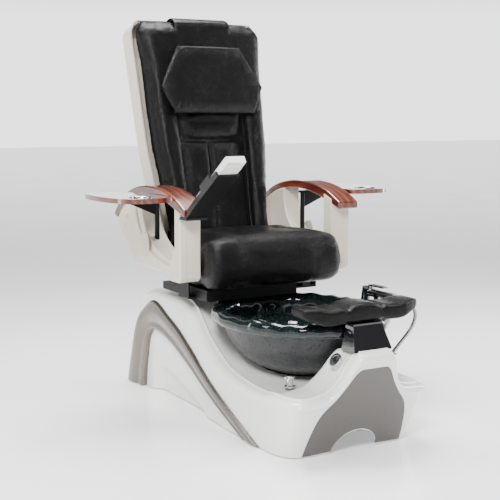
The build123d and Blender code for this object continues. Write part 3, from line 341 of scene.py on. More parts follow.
# %% Finish on every CAD node
SLOT_OF = {part["node"]: part.get("material_slot", part["node"]) for part in frame["record"]["subparts"]}
for node, obj in frame["nodes"].items():
    obj.data.materials.clear()
    obj.data.materials.append(FINISHES[SLOT_OF[node]])
print("finishes:", len(FINISHES), "on", len(SLOT_OF), "nodes")

# %% [markdown]
# ## Camera, floor and light
# The view is a long lens from the chair's right front, about a metre above the floor. The light is a plain
# studio: a key lamp high at the front, one upright strip at each side, and a wide lamp overhead. The horizon
# is pale and the ceiling above it is darker, so that the leather and the chrome have something to reflect.

# %% Camera
CAMERA_AT = Vector((-2.0015, -3.2847, 1.0923))
CAMERA_AIM = Vector((-0.0443, 0.0186, 0.5976))
LENS = 76.15
camera = bpy.data.objects.new("camera", bpy.data.cameras.new("camera"))
scene.collection.objects.link(camera)
camera.location = CAMERA_AT
camera.rotation_euler = (CAMERA_AIM - CAMERA_AT).to_track_quat("-Z", "Y").to_euler()
camera.data.lens = LENS
scene.camera = camera

# %% Floor
floor_finish = Finish("studio floor", (0.9, 0.9, 0.9), 0.16, Specular_IOR_Level=0.5,
                      Emission_Color=(1, 1, 1, 1), Emission_Strength=0.4)
floor_finish.put("Roughness", 0.14 + 0.05 * floor_finish.noise(2.0, 2.0))
bm = bmesh.new()
bmesh.ops.create_grid(bm, x_segments=1, y_segments=1, size=30.0)
floor_mesh = bpy.data.meshes.new("floor")
bm.to_mesh(floor_mesh)
bm.free()
floor = bpy.data.objects.new("floor", floor_mesh)
scene.collection.objects.link(floor)
floor.data.materials.append(floor_finish.material)


# %% Lights
def soft_box(name, place, aim, width, height, power):
    """A rectangular lamp that looks at a point."""
    lamp = bpy.data.lights.new(name, "AREA")
    lamp.shape = "RECTANGLE"
    lamp.size = width
    lamp.size_y = height
    lamp.energy = power
    holder = bpy.data.objects.new(name, lamp)
    scene.collection.objects.link(holder)
    holder.location = place
    holder.rotation_euler = (Vector(aim) - Vector(place)).to_track_quat("-Z", "Y").to_euler()


soft_box("key", (-2.2, -2.6, 3.0), (0, 0, 0.8), 1.1, 1.1, 260)
soft_box("left strip", (-3.2, 0.9, 1.3), (0, 0, 0.8), 0.5, 2.4, 45)
soft_box("right strip", (3.0, -0.2, 1.6), (0, 0, 0.8), 0.4, 2.2, 90)
soft_box("top", (0, 0.6, 3.6), (0, 0, 0.6), 2.2, 1.8, 330)

# %% World: a pale horizon under a darker ceiling
world = bpy.data.worlds.new("pale studio")
world.use_nodes = True
sky = world.node_tree.nodes
direction = sky.new("ShaderNodeTexCoord")
height = sky.new("ShaderNodeSeparateXYZ")
fade = sky.new("ShaderNodeMapRange")
fade.interpolation_type = "SMOOTHSTEP"
fade.inputs["From Min"].default_value = 0.085
fade.inputs["From Max"].default_value = 0.15
fade.inputs["To Min"].default_value = 2.6
fade.inputs["To Max"].default_value = 0.22
world.node_tree.links.new(direction.outputs["Object"], height.inputs[0])
world.node_tree.links.new(height.outputs["Z"], fade.inputs["Value"])
world.node_tree.links.new(fade.outputs["Result"], sky["Background"].inputs["Strength"])
sky["Background"].inputs["Color"].default_value = (1, 1, 1, 1)
scene.world = world

# %% [markdown]
# ## Helpers for meshes
# Lengths below are millimetres, except those named as metres. A finished bmesh is scaled to metres, becomes
# an object at the origin, and rides on its CAD body. A loft is a loop of edges that is extruded from one
# outline to the next.

# %% The two sides of the chair
SIDES = (("right", -1), ("left", 1))
AXIS_X, AXIS_Z = Vector((1, 0, 0)), Vector((0, 0, 1))


# %% Smooth lines through points
def smooth_line(points, closed=False, steps=16):
    """Dense points of a smooth line (Catmull-Rom) through the given ones."""
    points = np.array(points, float)
    if closed:
        ends = np.vstack([points[-1:], points, points[:2]])
    else:
        ends = np.vstack([2 * points[0] - points[1], points, 2 * points[-1] - points[-2]])
    t = (np.arange(steps) / steps)[:, None]
    runs = [0.5 * (2 * b + (c - a) * t + (2 * a - 5 * b + 4 * c - d) * t ** 2
                   + (3 * b - a - 3 * c + d) * t ** 3)
            for a, b, c, d in zip(ends, ends[1:], ends[2:], ends[3:])]
    last = points[:1] if closed else points[-1:]
    return np.vstack([*runs, last])


def even_points(line, count, closed=False):
    """Points spaced evenly along a line. A closed line doesn't repeat its first point."""
    line = np.array(line, float)
    run = np.concatenate([[0], np.cumsum(np.linalg.norm(np.diff(line, axis=0), axis=1))])
    places = np.linspace(0, run[-1], count + 1)[:-1] if closed else np.linspace(0, run[-1], count)
    return np.column_stack([np.interp(places, run, line[:, k]) for k in range(line.shape[1])])


def even_line(points, count, closed=False, steps=16):
    """Evenly spaced points of the smooth line through the given ones."""
    return even_points(smooth_line(points, closed, steps), count, closed)


def both_sides(points):
    """A line of points and its mirror image."""
    return [[(side * x, y, z) for x, y, z in points] for side in (-1, 1)]


# %% Lofts and finished pieces
def loft(bm, rings, closed=True):
    """Extrudes a loop of edges from ring to ring, and moves the new points to the next ring."""
    points = [bm.verts.new(p) for p in rings[0]]
    pairs = zip(points, points[1:] + points[:1]) if closed else zip(points, points[1:])
    edges = [bm.edges.new(pair) for pair in pairs]
    for ring in rings[1:]:
        made = bmesh.ops.extrude_edge_only(bm, edges=edges)["geom"]
        fresh = {v for v in made if isinstance(v, bmesh.types.BMVert)}
        edges = [e for e in made if isinstance(e, bmesh.types.BMEdge) and fresh.issuperset(e.verts)]
        points = [next(e.other_vert(v) for e in v.link_edges if e.other_vert(v) in fresh) for v in points]
        for vertex, place in zip(points, ring):
            vertex.co = place


def finished(name, bm, body, slot, replaces=()):
    """Turns a bmesh in millimetres into a smooth object in metres that rides on a CAD body."""
    bmesh.ops.scale(bm, vec=(MM,) * 3, verts=bm.verts)
    bmesh.ops.recalc_face_normals(bm, faces=bm.faces)
    mesh = bpy.data.meshes.new(name)
    bm.to_mesh(mesh)
    bm.free()
    mesh.shade_smooth()
    obj = bpy.data.objects.new(name.replace(" ", "_"), mesh)
    scene.collection.objects.link(obj)
    obj.data.materials.append(FINISHES[slot])
    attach(obj, body)
    if replaces:
        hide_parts(*replaces)
    return obj


def subdivided(obj):
    modifier = obj.modifiers.new("Subdivision", "SUBSURF")
    modifier.levels = 1
    modifier.render_levels = 1


def thickened(obj, thickness, offset=-1.0):
    """Gives a sheet a thickness in millimetres. The offset is -1 for all of it below, 0 for half on each side."""
    modifier = obj.modifiers.new("Solidify", "SOLIDIFY")
    modifier.thickness = thickness * MM
    modifier.offset = offset


def edged(obj, width, segments=3, angle=30.0):
    """Rounds every edge sharper than the angle. Width is in millimetres."""
    modifier = obj.modifiers.new("Bevel", "BEVEL")
    modifier.width = width * MM
    modifier.segments = segments
    modifier.limit_method = "ANGLE"
    modifier.angle_limit = math.radians(angle)
    modifier.harden_normals = True


def slab(bm, outline, push):
    """A closed outline filled and extruded along push."""
    face = bm.faces.new([bm.verts.new(p) for p in outline])
    made = bmesh.ops.extrude_face_region(bm, geom=[face])["geom"]
    bmesh.ops.translate(bm, vec=push, verts=[v for v in made if isinstance(v, bmesh.types.BMVert)])


def prism(name, outline, push, body, slot, replaces=()):
    """A slab as a finished piece."""
    bm = bmesh.new()
    slab(bm, outline, push)
    return finished(name, bm, body, slot, replaces)


def cut(bm, places, axis):
    """Cuts every face at each place along an axis, so that the piece can bend there."""
    for place in places:
        geometry = bm.verts[:] + bm.edges[:] + bm.faces[:]
        bmesh.ops.bisect_plane(bm, geom=geometry, plane_co=axis * float(place), plane_no=axis)


def spun(bm, profile, steps):
    """Turns a half section about the upright axis into a full round."""
    section = [bm.verts.new((r, 0, z)) for r, z in profile]
    edges = [bm.edges.new(pair) for pair in zip(section, section[1:])]
    bmesh.ops.spin(bm, geom=section + edges, cent=(0, 0, 0), axis=(0, 0, 1), angle=2 * math.pi,
                   steps=steps, use_merge=True)
    bmesh.ops.remove_doubles(bm, verts=bm.verts, dist=0.01)


# %% [markdown]
# ## The hull
# The hull is one glass-fibre moulding. Its walls lean forward, its deck sags round the bowl and climbs to a
# nose that carries the footrest. One loop of edges starts at the floor, climbs the wall, rolls over the rim
# with its raised bead, and crosses the deck to the bowl's opening. Each ring's height comes from the lines
# below.

# %% Heights of the rim and the nose
WALL_LEAN = 0.40
DECK_LOW = 196.0
CREST = smooth_line([(-760, 195), (-528, 196), (-409, 198), (-306, 205), (-175, 228), (-37, 288), (35, 338),
                     (87, 380), (135, 401), (190, 409), (300, 412), (400, 410), (454, 404), (505, 390),
                     (534, 364), (562, 330), (600, 230), (625, 140)])
NOSE_SIDE = [(0, 350), (68, 350), (76, 334), (86, 303), (103, 266), (123, 236), (145, 216), (190, 203),
             (245, 198), (330, 190)]
NOSE_REAR = [(-760, 400), (-600, 400), (-555, 352), (-470, 195), (-420, 130)]
BOWL_Y = -243.0
BOWL_STRETCH = 1.19
BOWL_WALL = [(203, 78), (215, 116), (235, 160), (260, 195), (300, 228), (340, 246), (385, 254)]
ROWS_UP = 26
AROUND = 260
DECK_BLEND = 14.0
DECK_SINK = 4.8
FOOT_Z = 3.0


def deck_height(x, y):
    """Height of the deck: the saddle along the rim line, or the nose where that is higher."""
    saddle = float(np.interp(y, CREST[:, 0], CREST[:, 1]))
    across = float(np.interp(abs(x), *zip(*NOSE_SIDE)))
    behind = float(np.interp(y, *zip(*NOSE_REAR)))
    nose = min(across, behind)
    gap = nose - saddle
    return saddle + 0.5 * (gap + math.hypot(gap, DECK_BLEND))


# %% Outline of the hull at the floor
HALF_OUTLINE = [(0, 685), (-130, 685), (-225, 684), (-246, 676), (-252, 655), (-249, 600), (-247, 450),
                (-249, 323), (-252, 121), (-255, -100), (-257, -307), (-257, -430), (-252, -495),
                (-229, -543), (-190, -560), (-116, -565), (-53, -563)]
outline = HALF_OUTLINE + [(-x, y) for x, y in reversed(HALF_OUTLINE[1:])]
FLOOR_LINE = even_line(outline, AROUND, closed=True)
FLARE = [(-700, 26), (-300, 30), (-100, 24), (121, 10), (323, 2), (700, 0)]


def wall_point(x0, y0, height):
    """A point of the wall above a point of the floor line."""
    flare = float(np.interp(y0, *zip(*FLARE))) * min(1.0, height / 200.0)
    side = min(1.0, abs(x0) / 200.0)
    return x0 + math.copysign(flare * side, x0), y0 - WALL_LEAN * height


def rim_of(x0, y0):
    """Where a wall meets the deck, found by walking up until the two agree."""
    height = DECK_LOW
    for _ in range(30):
        x, y = wall_point(x0, y0, height)
        height += 0.5 * (deck_height(x, y) - height)
    return height


# %% Arch of the side trim, and the recess under it
TRIM_OUTER = smooth_line([(655, 3), (624, 104), (577, 240), (501, 323), (402, 372), (269, 327), (158, 284),
                          (37, 225), (-71, 167), (-181, 113), (-404, 3)])
TRIM_INNER = smooth_line([(522, 3), (508, 88), (478, 195), (450, 239), (415, 255), (372, 251), (271, 230),
                          (114, 177), (-35, 113), (-285, 3)])
SCOOP = smooth_line([(470, -20), (446, 49), (415, 94), (375, 111), (291, 102), (190, 76), (90, 48), (10, 10),
                     (-20, -20)])
EMBOSSED = smooth_line([(541, -20), (503, 120), (480, 178), (440, 204), (395, 205), (291, 170), (150, 112),
                        (-20, 46), (-150, -20)])


def inside_by(line, y, z):
    """How far a point lies inside the area under an arched line, negative outside."""
    away = np.min(np.hypot(line[:, 0] - y, line[:, 1] - z))
    ahead = np.argsort(line[:, 0])
    height = np.interp(y, line[ahead, 0], line[ahead, 1], left=-1e3, right=-1e3)
    return away if z < height else -away


def smooth_step(value, low, high):
    t = min(1.0, max(0.0, (value - low) / (high - low)))
    return t * t * (3 - 2 * t)


def recess(y, z):
    """How deep the side wall sinks at a point."""
    fade = smooth_step(y, -260, 140)
    depth = (6 + 10 * fade) * smooth_step(inside_by(TRIM_INNER, y, z), -24, -8)
    depth += 3 * smooth_step(inside_by(EMBOSSED, y, z), 0, 9)
    return depth + 30 * smooth_step(inside_by(SCOOP, y, z), 0, 26)


# %% The hull's rings
TOE_ARCH = 90.0
TOE_ARCH_TOP = 70.0


def toe_height(x):
    """Lower edge of the front wall, lifted into an arch for the toes."""
    return FOOT_Z + TOE_ARCH_TOP * math.sqrt(max(0.0, 1 - (x / TOE_ARCH) ** 2))


rims = [rim_of(x, y) for x, y in FLOOR_LINE]
ROLL = 36.0
rings = []
for row in range(ROWS_UP):
    share = row / (ROWS_UP - 1)
    ring = []
    for (x0, y0), rim in zip(FLOOR_LINE, rims):
        low = toe_height(x0) if y0 < -500 else FOOT_Z
        height = low + (rim - ROLL - low) * share
        x, y = wall_point(x0, y0, height)
        if abs(x0) > 200:
            x -= math.copysign(recess(y, height), x)
        ring.append((x, y, height))
    rings.append(ring)
top = np.array([wall_point(x, y, rim) for (x, y), rim in zip(FLOOR_LINE, rims)])
inward = np.roll(top, -1, 0) - np.roll(top, 1, 0)
inward = np.column_stack([-inward[:, 1], inward[:, 0]])
inward /= np.linalg.norm(inward, axis=1)[:, None]
if np.dot(inward[0], -top[0]) < 0:
    inward = -inward
RIM_PROFILE = [(0.6, -24), (4, -14), (10, -7.5), (18, -3.5), (26, -1.6), (29.5, -0.6), (32, 2.2), (34, 4.0),
               (36.5, 4.2), (38.5, 2.4), (40.5, -2.0), (43, -4.2), (47, -DECK_SINK)]
for inset, drop in RIM_PROFILE:
    line = top + inward * inset
    rings.append([(x, y, deck_height(x, y) + drop) for x, y in line])


# %% The deck, from the rim to the bowl's opening
def bowl_half_width(z):
    return float(np.interp(z, *zip(*BOWL_WALL)))


def opening_point(angle, gap=2.5):
    """Where the deck meets the bowl in one direction from its middle."""
    for reach in np.arange(50, 300, 0.5):
        x, y = reach * math.cos(angle), BOWL_Y + reach * BOWL_STRETCH * math.sin(angle)
        if reach > bowl_half_width(deck_height(x, y)) + gap:
            break
    return x, y


DECK_STEPS = 24
turns = [math.pi / 2 + 2 * math.pi * k / 720 for k in range(721)]
opening = even_points([opening_point(a) for a in turns], AROUND, closed=True)
edge = top + inward * RIM_PROFILE[-1][0]
for step in range(1, DECK_STEPS + 1):
    share = step / DECK_STEPS
    line = edge + (opening - edge) * share
    rings.append([(x, y, deck_height(x, y) - DECK_SINK * (1 - 0.6 * share)) for x, y in line])
rings.append([(x * 0.985, BOWL_Y + (y - BOWL_Y) * 0.985, deck_height(x, y) - 12) for x, y in opening])
bm = bmesh.new()
loft(bm, rings)
hull = finished("hull", bm, "base", "gelcoat_white", ["base_shell", "side_panel_left", "side_panel_right"])
subdivided(hull)
print("hull rings:", len(rings), "rim heights:", round(min(rims)), round(max(rims)))

# %% [markdown]
# ## The arched trims
# Each trim is a moulding that is clipped over the edge of the recess. Its section has a broad round, a
# shallow channel and a narrow bead, and it turns inwards at the opening. The section is lofted along the two
# arched lines.

# %% Side trims
TRIM_SECTION = [(0.0, -3), (0.0, 2), (0.02, 5.5), (0.08, 8.5), (0.2, 11.5), (0.34, 12.5), (0.48, 11),
                (0.6, 7.5), (0.66, 4.4), (0.70, 3.4), (0.75, 3.6), (0.80, 5.4), (0.86, 6.4), (0.92, 5.8),
                (0.97, 3.5), (1.0, 0), (1.0, -12), (1.0, -32)]
TRIM_ROWS = 120
outer_line = even_points(TRIM_OUTER, TRIM_ROWS)
inner_line = even_points(TRIM_INNER, TRIM_ROWS)


def half_width(y, z):
    """Half width of the wall at a place of the side view."""
    side = FLOOR_LINE[FLOOR_LINE[:, 0] < -200]
    order = np.argsort(side[:, 1])
    y0 = y + WALL_LEAN * z
    x0 = float(np.interp(y0, side[order, 1], side[order, 0]))
    return abs(wall_point(x0, y0, z)[0])


for name, side in SIDES:
    rings = []
    for (y0, z0), (y1, z1) in zip(outer_line, inner_line):
        ring = []
        for share, proud in TRIM_SECTION:
            y, z = y0 + (y1 - y0) * share, z0 + (z1 - z0) * share
            ring.append((side * (half_width(y, z) + proud), y, z))
        rings.append(ring)
    bm = bmesh.new()
    loft(bm, rings, closed=False)
    band = finished(f"trim {name}", bm, "base", "trim_champagne", [f"side_trim_{name}"])
    thickened(band, 2.0)
    subdivided(band)

# %% [markdown]
# ## The front panel
# A thin grey sheet lies on the leaning front wall, with S-shaped sides and an arch for the technician's toes.
# Its outline is filled, cut into strips so that it can bend with the wall, and given a small thickness.

# %% Front panel
PANEL_HALF = [(-196, 5), (-190, 60), (-178, 120), (-160, 160), (-128, 195), (-96, 236), (-72, 276),
              (-58, 292), (-44, 297), (0, 297)]
PANEL_SHEET = 3.5
PANEL_STRIP = 15
TOE_HALF = [(-TOE_ARCH * math.cos(a), 5 + (TOE_ARCH_TOP + 2) * math.sin(a))
            for a in np.linspace(0.06, math.pi / 2, 14)]


def front_wall(x, z):
    """How far forward the front wall is at a place of the front view."""
    front = FLOOR_LINE[FLOOR_LINE[:, 1] < -480]
    order = np.argsort(front[:, 0])
    grown = x / (1 + 0.12 * min(1.0, z / 200.0) * smooth_step(abs(x), 120, 230))
    return float(np.interp(grown, front[order, 0], front[order, 1])) - WALL_LEAN * z


left_edge = even_line(PANEL_HALF, 40)
toe_edge = even_points(TOE_HALF, 16)
half = np.vstack([toe_edge[::-1], left_edge])
whole = np.vstack([half, (half * (-1, 1))[::-1][1:-1]])
bm = bmesh.new()
bm.faces.new([bm.verts.new((x, 0, z)) for x, z in whole])
cut(bm, range(-180, 181, PANEL_STRIP), AXIS_X)
cut(bm, range(20, 290, PANEL_STRIP), AXIS_Z)
for vertex in bm.verts:
    vertex.co.y = front_wall(vertex.co.x, vertex.co.z) + 1.0
kick = finished("front panel", bm, "base", "panel_grey", ["front_panel"])
thickened(kick, PANEL_SHEET, 0.0)
edged(kick, 1.2, 2, 60)

# %% [markdown]
# ## The foot bowl
# The bowl is an egg-shaped basin with a thick rolled rim. A half section is spun into a full turn, the rim is
# given its uneven wave, and the whole is stretched along the chair.

# %% Foot bowl
BOWL_SECTION = [(0, 203), (78, 203), (116, 215), (160, 235), (195, 260), (228, 300), (246, 340), (254, 368),
                (259, 378), (272, 376), (284, 374), (291, 378), (294, 390), (293, 405), (289, 416),
                (279, 422), (266, 423), (253, 419), (244, 410), (239, 392), (235, 360), (226, 318),
                (206, 285), (178, 255), (140, 232), (96, 217), (50, 212), (0, 211)]
bm = bmesh.new()
spun(bm, even_line(BOWL_SECTION, 64, steps=6), 144)
outside_layer = bm.verts.layers.float.new("outside")
for vertex in bm.verts:
    x, y, z = vertex.co
    radius, angle = math.hypot(x, y), math.atan2(y, x)
    skin = radius > bowl_half_width(z) - 5 and z < 374 and radius < 260
    vertex[outside_layer] = 1.0 if skin or z < 206 else 0.0
    if radius > 232 and z > 360:
        wave = 2.6 * math.sin(26 * angle + 2 * math.sin(3 * angle)) + 1.2 * math.sin(9 * angle + 1)
        vertex.co.z += wave * smooth_step(z, 360, 400)
        grown = 1 + 0.006 * math.sin(17 * angle + 1.3 * math.sin(5 * angle))
        vertex.co.x *= grown
        vertex.co.y *= grown
bmesh.ops.scale(bm, vec=(1, BOWL_STRETCH, 1), verts=bm.verts)
bmesh.ops.translate(bm, vec=(0, BOWL_Y, 0), verts=bm.verts)
ROD_CLEAR_Z = 414.0
# the rim's rear edge is lowered where the seat's slide rod passes over it
for vertex in bm.verts:
    under_rod = smooth_step(vertex.co.y, -20, 25) * (1 - smooth_step(abs(vertex.co.x), 30, 70))
    vertex.co.z -= under_rod * max(0.0, vertex.co.z - ROD_CLEAR_Z)
basin = finished("foot bowl", bm, "base", "bowl_glass", ["bowl"])
subdivided(basin)

# %% [markdown]
# ## Cushions
# A pad is a leather cover pulled tight over foam. The recipe is close to an upholsterer's: cut a slightly
# small shape and let it swell between its seams. The block is remeshed evenly, its seam lines are pinned, and
# the cloth solver blows it up for a few frames. A cap keeps any point from moving too far. Then the seams are
# drawn in.

# %% Measures of the solver and the seams
SOLVER_FRAMES = 20
SMOOTH_ROUNDS = 2
SEAM_STEP = 2.0
HELD = 0.012            # metres from a seam that stay pinned
HELD_PILLOW = 0.006
SEAT_UNDERSIDE = 0.482  # metres

# %% Blow up a pad
def seam_distance(place, seams):
    """Distance to the nearest seam line, and how far along it the nearest point is. Lines are numpy arrays."""
    best, run_at = 1e9, 0.0
    for line, run in seams:
        away = np.linalg.norm(line - place, axis=1)
        nearest = int(np.argmin(away))
        if away[nearest] < best:
            best, run_at = float(away[nearest]), float(run[nearest])
    return best, run_at


def seam_lines(lines):
    """Each line as close points in metres, with the length run so far at each of them."""
    made = []
    for line in lines:
        dense = smooth_line(line)
        length = np.sum(np.linalg.norm(np.diff(dense, axis=0), axis=1))
        points = even_points(dense, max(2, int(length / SEAM_STEP))) * MM
        run = np.concatenate([[0], np.cumsum(np.linalg.norm(np.diff(points, axis=0), axis=1))])
        made.append((points, run))
    return made


def inflated(obj, voxel, pressure, cap, pinned):
    """Remeshes a pad evenly, swells it with the cloth solver, and leaves a plain mesh."""
    start = obj.data.copy()
    blown = bpy.data.objects.new(obj.name + " blank", start)
    scene.collection.objects.link(blown)
    remesh = blown.modifiers.new("Remesh", "REMESH")
    remesh.mode = "VOXEL"
    remesh.voxel_size = voxel * MM
    even = bpy.data.meshes.new_from_object(blown.evaluated_get(bpy.context.evaluated_depsgraph_get()))
    blown.modifiers.clear()
    blown.data = even
    rest = np.array([v.co for v in even.vertices])
    group = blown.vertex_groups.new(name="sewn")
    for vertex in even.vertices:
        weight = pinned(np.array(vertex.co))
        if weight > 0:
            group.add([vertex.index], weight, "REPLACE")
    cloth = blown.modifiers.new("Cloth", "CLOTH")
    cloth.settings.use_pressure = True
    cloth.settings.uniform_pressure_force = pressure
    cloth.settings.effector_weights.gravity = 0.0
    cloth.settings.vertex_group_mass = "sewn"
    cloth.settings.quality = 5
    cloth.point_cache.frame_start = 1
    cloth.point_cache.frame_end = SOLVER_FRAMES
    for number in range(1, SOLVER_FRAMES + 1):
        scene.frame_set(number)
    solved = blown.evaluated_get(bpy.context.evaluated_depsgraph_get()).to_mesh()
    moved = np.array([v.co for v in solved.vertices]) - rest
    length = np.linalg.norm(moved, axis=1)
    keep_share = np.minimum(1.0, cap * MM / np.maximum(length, 1e-9))
    rest = rest + moved * keep_share[:, None]
    blown.modifiers.clear()
    scene.frame_set(1)
    even.vertices.foreach_set("co", rest.astype(np.float32).ravel())
    obj.data = even
    bpy.data.objects.remove(blown)


def sew(obj, lines, depth, width):
    """Sinks the seam lines into a pad, and paints each point's distance to the nearest one."""
    seams = seam_lines(lines)
    bm = bmesh.new()
    bm.from_mesh(obj.data)
    for _ in range(SMOOTH_ROUNDS):
        bmesh.ops.smooth_vert(bm, verts=bm.verts, factor=0.5, use_axis_x=True, use_axis_y=True,
                              use_axis_z=True)
    bm.normal_update()
    moves, gaps, runs = [], [], []
    for vertex in bm.verts:
        gap, run = seam_distance(np.array(vertex.co), seams)
        moves.append(-vertex.normal * depth * MM * math.exp(-((gap / (width * MM)) ** 2)))
        gaps.append(gap)
        runs.append(run)
    for vertex, move in zip(bm.verts, moves):
        vertex.co += move
    bm.to_mesh(obj.data)
    bm.free()
    for name, values in (("seam_gap", gaps), ("seam_run", runs)):
        layer = obj.data.attributes.get(name) or obj.data.attributes.new(name, "FLOAT", "POINT")
        layer.data.foreach_set("value", values)
    obj.data.shade_smooth()


# %% [markdown]
# ## Seat cushion
# The seat is a deep block with a full front roll. Two channels run from the back over the front and part it
# into a middle and two side bolsters, and an end seam closes each side of the roll.

# %% Seat cushion
SEAT_SIDE = [(243, 480), (243, 648), (120, 658), (-20, 664), (-82, 656), (-112, 630), (-128, 590),
             (-130, 545), (-118, 505), (-92, 482), (-40, 476)]
SEAT_HALF = 246.0
ROLL_HALF = 266.0
bm = bmesh.new()
slab(bm, [(-SEAT_HALF, y, z) for y, z in even_line(SEAT_SIDE, 60, closed=True, steps=6)],
     (2 * SEAT_HALF, 0, 0))
cut(bm, np.linspace(-SEAT_HALF, SEAT_HALF, 22)[1:-1], AXIS_X)
SEAT_MIDDLE = Vector((0, 50, 568))
for vertex in bm.verts:
    x, y, z = vertex.co
    edge_share = smooth_step(abs(x), SEAT_HALF - 45, SEAT_HALF)
    widen = 1 + (ROLL_HALF / SEAT_HALF - 1) * smooth_step(-y, -10, 70)
    pull = 1 - 0.10 * edge_share ** 2
    vertex.co = (x * widen, SEAT_MIDDLE.y + (y - SEAT_MIDDLE.y) * (1 - 0.5 * (1 - pull)),
                 SEAT_MIDDLE.z + (z - SEAT_MIDDLE.z) * pull)
seat = finished("seat cushion", bm, "seat", "leather_black", ["seat_cushion"])
CHANNEL_X = 150.0
seat_channels = both_sides([(CHANNEL_X, y, z) for y, z in
                            [(243, 640), (180, 662), (60, 672), (-40, 674), (-95, 662), (-126, 630),
                             (-140, 590), (-142, 545), (-130, 500), (-100, 475)]])
seat_pins = seam_lines(seat_channels)
inflated(seat, 6.0, 4.0, 14.0,
         lambda p: 1.0 if seam_distance(p, seat_pins)[0] < HELD or p[2] < SEAT_UNDERSIDE else 0.0)
end_seams = both_sides([(262, y, z) for y, z in [(-60, 668), (-100, 650), (-128, 600), (-132, 545),
                                                 (-116, 500), (-80, 476)]])
sew(seat, seat_channels + end_seams, 7.0, 8.0)
subdivided(seat)

# %% [markdown]
# ## Back cushion
# The back is one long pad in a plastic tub. Bolsters at both sides stand proud of the middle, parted from it
# by two deep channels. A cross seam lies below the pillow and another seam runs down beside the centre line.
# The pad is built upright in its own frame (across, rearwards, up) and then laid back on the recline pivot.

# %% Back cushion
PIVOT = Vector((0, 275, 500))
BACK_LEAN = 13.2
LAY_BACK = Matrix.Translation(PIVOT) @ Matrix.Rotation(math.radians(-BACK_LEAN), 4, "X")
BACK_SIDE = [(-216, 84), (-222, 110), (-232, 230), (-246, 350), (-260, 470), (-266, 600), (-270, 760),
             (-275, 900), (-272, 950), (-252, 976), (-220, 986)]


def laid(points):
    """Points of the back's own frame (across, rearwards, up) placed on the chair."""
    return [tuple(LAY_BACK @ Vector(p)) for p in points]


back_outline = even_line(BACK_SIDE + [(-x, s) for x, s in reversed(BACK_SIDE)], 130, closed=True, steps=8)
bm = bmesh.new()
slab(bm, [(x, 40, s) for x, s in back_outline], (0, -62, 0))
cut(bm, range(-260, 261, 20), AXIS_X)
cut(bm, range(100, 980, 25), AXIS_Z)
for vertex in bm.verts:
    x, n, s = vertex.co
    if n < 0:
        half = float(np.interp(s, [p[1] for p in BACK_SIDE], [-p[0] for p in BACK_SIDE]))
        edge_roll = 16 * smooth_step(abs(x), half - 40, half + 2) + 18 * smooth_step(s, 930, 990)
        middle = 15 * smooth_step(136 - abs(x), 0, 14) * smooth_step(620 - s, 0, 40)
        vertex.co.y = n + edge_roll + middle
for vertex in bm.verts:
    vertex.co = LAY_BACK @ vertex.co
back = finished("back cushion", bm, "back", "leather_black", ["back_cushion"])
CHANNELS = both_sides([(128, -10, 84), (128, -16, 217), (133, -20, 400), (138, -24, 575), (140, -26, 610)])
CROSS_SEAM = [[(-136, -22, 505), (-60, -24, 500), (40, -24, 500), (136, -22, 505)]]
CENTRE_SEAM = [[(-22, -22, 500), (-20, -20, 380), (-18, -18, 240), (-18, -14, 90)]]
back_seams = [laid(line) for line in CHANNELS + CROSS_SEAM + CENTRE_SEAM]
back_pins = seam_lines(back_seams)
inflated(back, 7.0, 4.0, 16.0, lambda p: 1.0 if seam_distance(p, back_pins)[0] < HELD else 0.0)
sew(back, back_seams, 15.0, 10.0)
subdivided(back)

# %% Flap over the top of the back
FLAP_HALF = 127.0
# it begins above the pillow at its highest, so that the two never meet
FLAP_ROWS = 34
FLAP_LINE = even_line([(-36, 914.0), (-37, 938.0), (-33, 964), (-14, 984), (14, 992), (40, 990)], FLAP_ROWS)
bm = bmesh.new()
loft(bm, [[(x * (1 - 0.05 * step / (FLAP_ROWS - 1)), n, s) for x in np.linspace(-FLAP_HALF, FLAP_HALF, 23)]
          for step, (n, s) in enumerate(FLAP_LINE)], closed=False)
for vertex in bm.verts:
    x, n, s = vertex.co
    fold = 1.6 * math.exp(-((s - 925 + 0.05 * x) / 7) ** 2) + 1.2 * math.exp(-((s - 958 - 0.03 * x) / 6) ** 2)
    vertex.co.y = n + fold + 5 * smooth_step(abs(x), FLAP_HALF - 10, FLAP_HALF)
    vertex.co = LAY_BACK @ vertex.co
flap = finished("back flap", bm, "back", "leather_black")
thickened(flap, 5.0)
subdivided(flap)

# %% Piping between the leather and the tub
bm = bmesh.new()
PIPE_R = 3.2
turn = [2 * math.pi * k / 8 for k in range(8)]
centre = np.mean(back_outline, axis=0)
rings = []
for step, (x, s) in enumerate(even_points(np.vstack([back_outline, back_outline[:1]]), 900, closed=True)):
    out = np.array([x, s]) - centre
    out /= np.linalg.norm(out)
    pleat = PIPE_R * (1 + 0.14 * math.cos(2 * math.pi * step / 5))
    rings.append([tuple(LAY_BACK @ Vector((x + out[0] * (1 + pleat * math.cos(a)), 42 + pleat * math.sin(a),
                                           s + out[1] * (1 + pleat * math.cos(a))))) for a in turn])
loft(bm, rings + rings[:1])
bmesh.ops.remove_doubles(bm, verts=bm.verts, dist=0.01)
finished("back piping", bm, "back", "pipe_grey")

# %% [markdown]
# ## Head pillow
# The pillow is a flat six-sided pad with rounded corners and a boxed edge: a band of leather joins its front
# and rear panels. Only the front panel's seam is drawn. It slides on the back, so it rides on its own body.

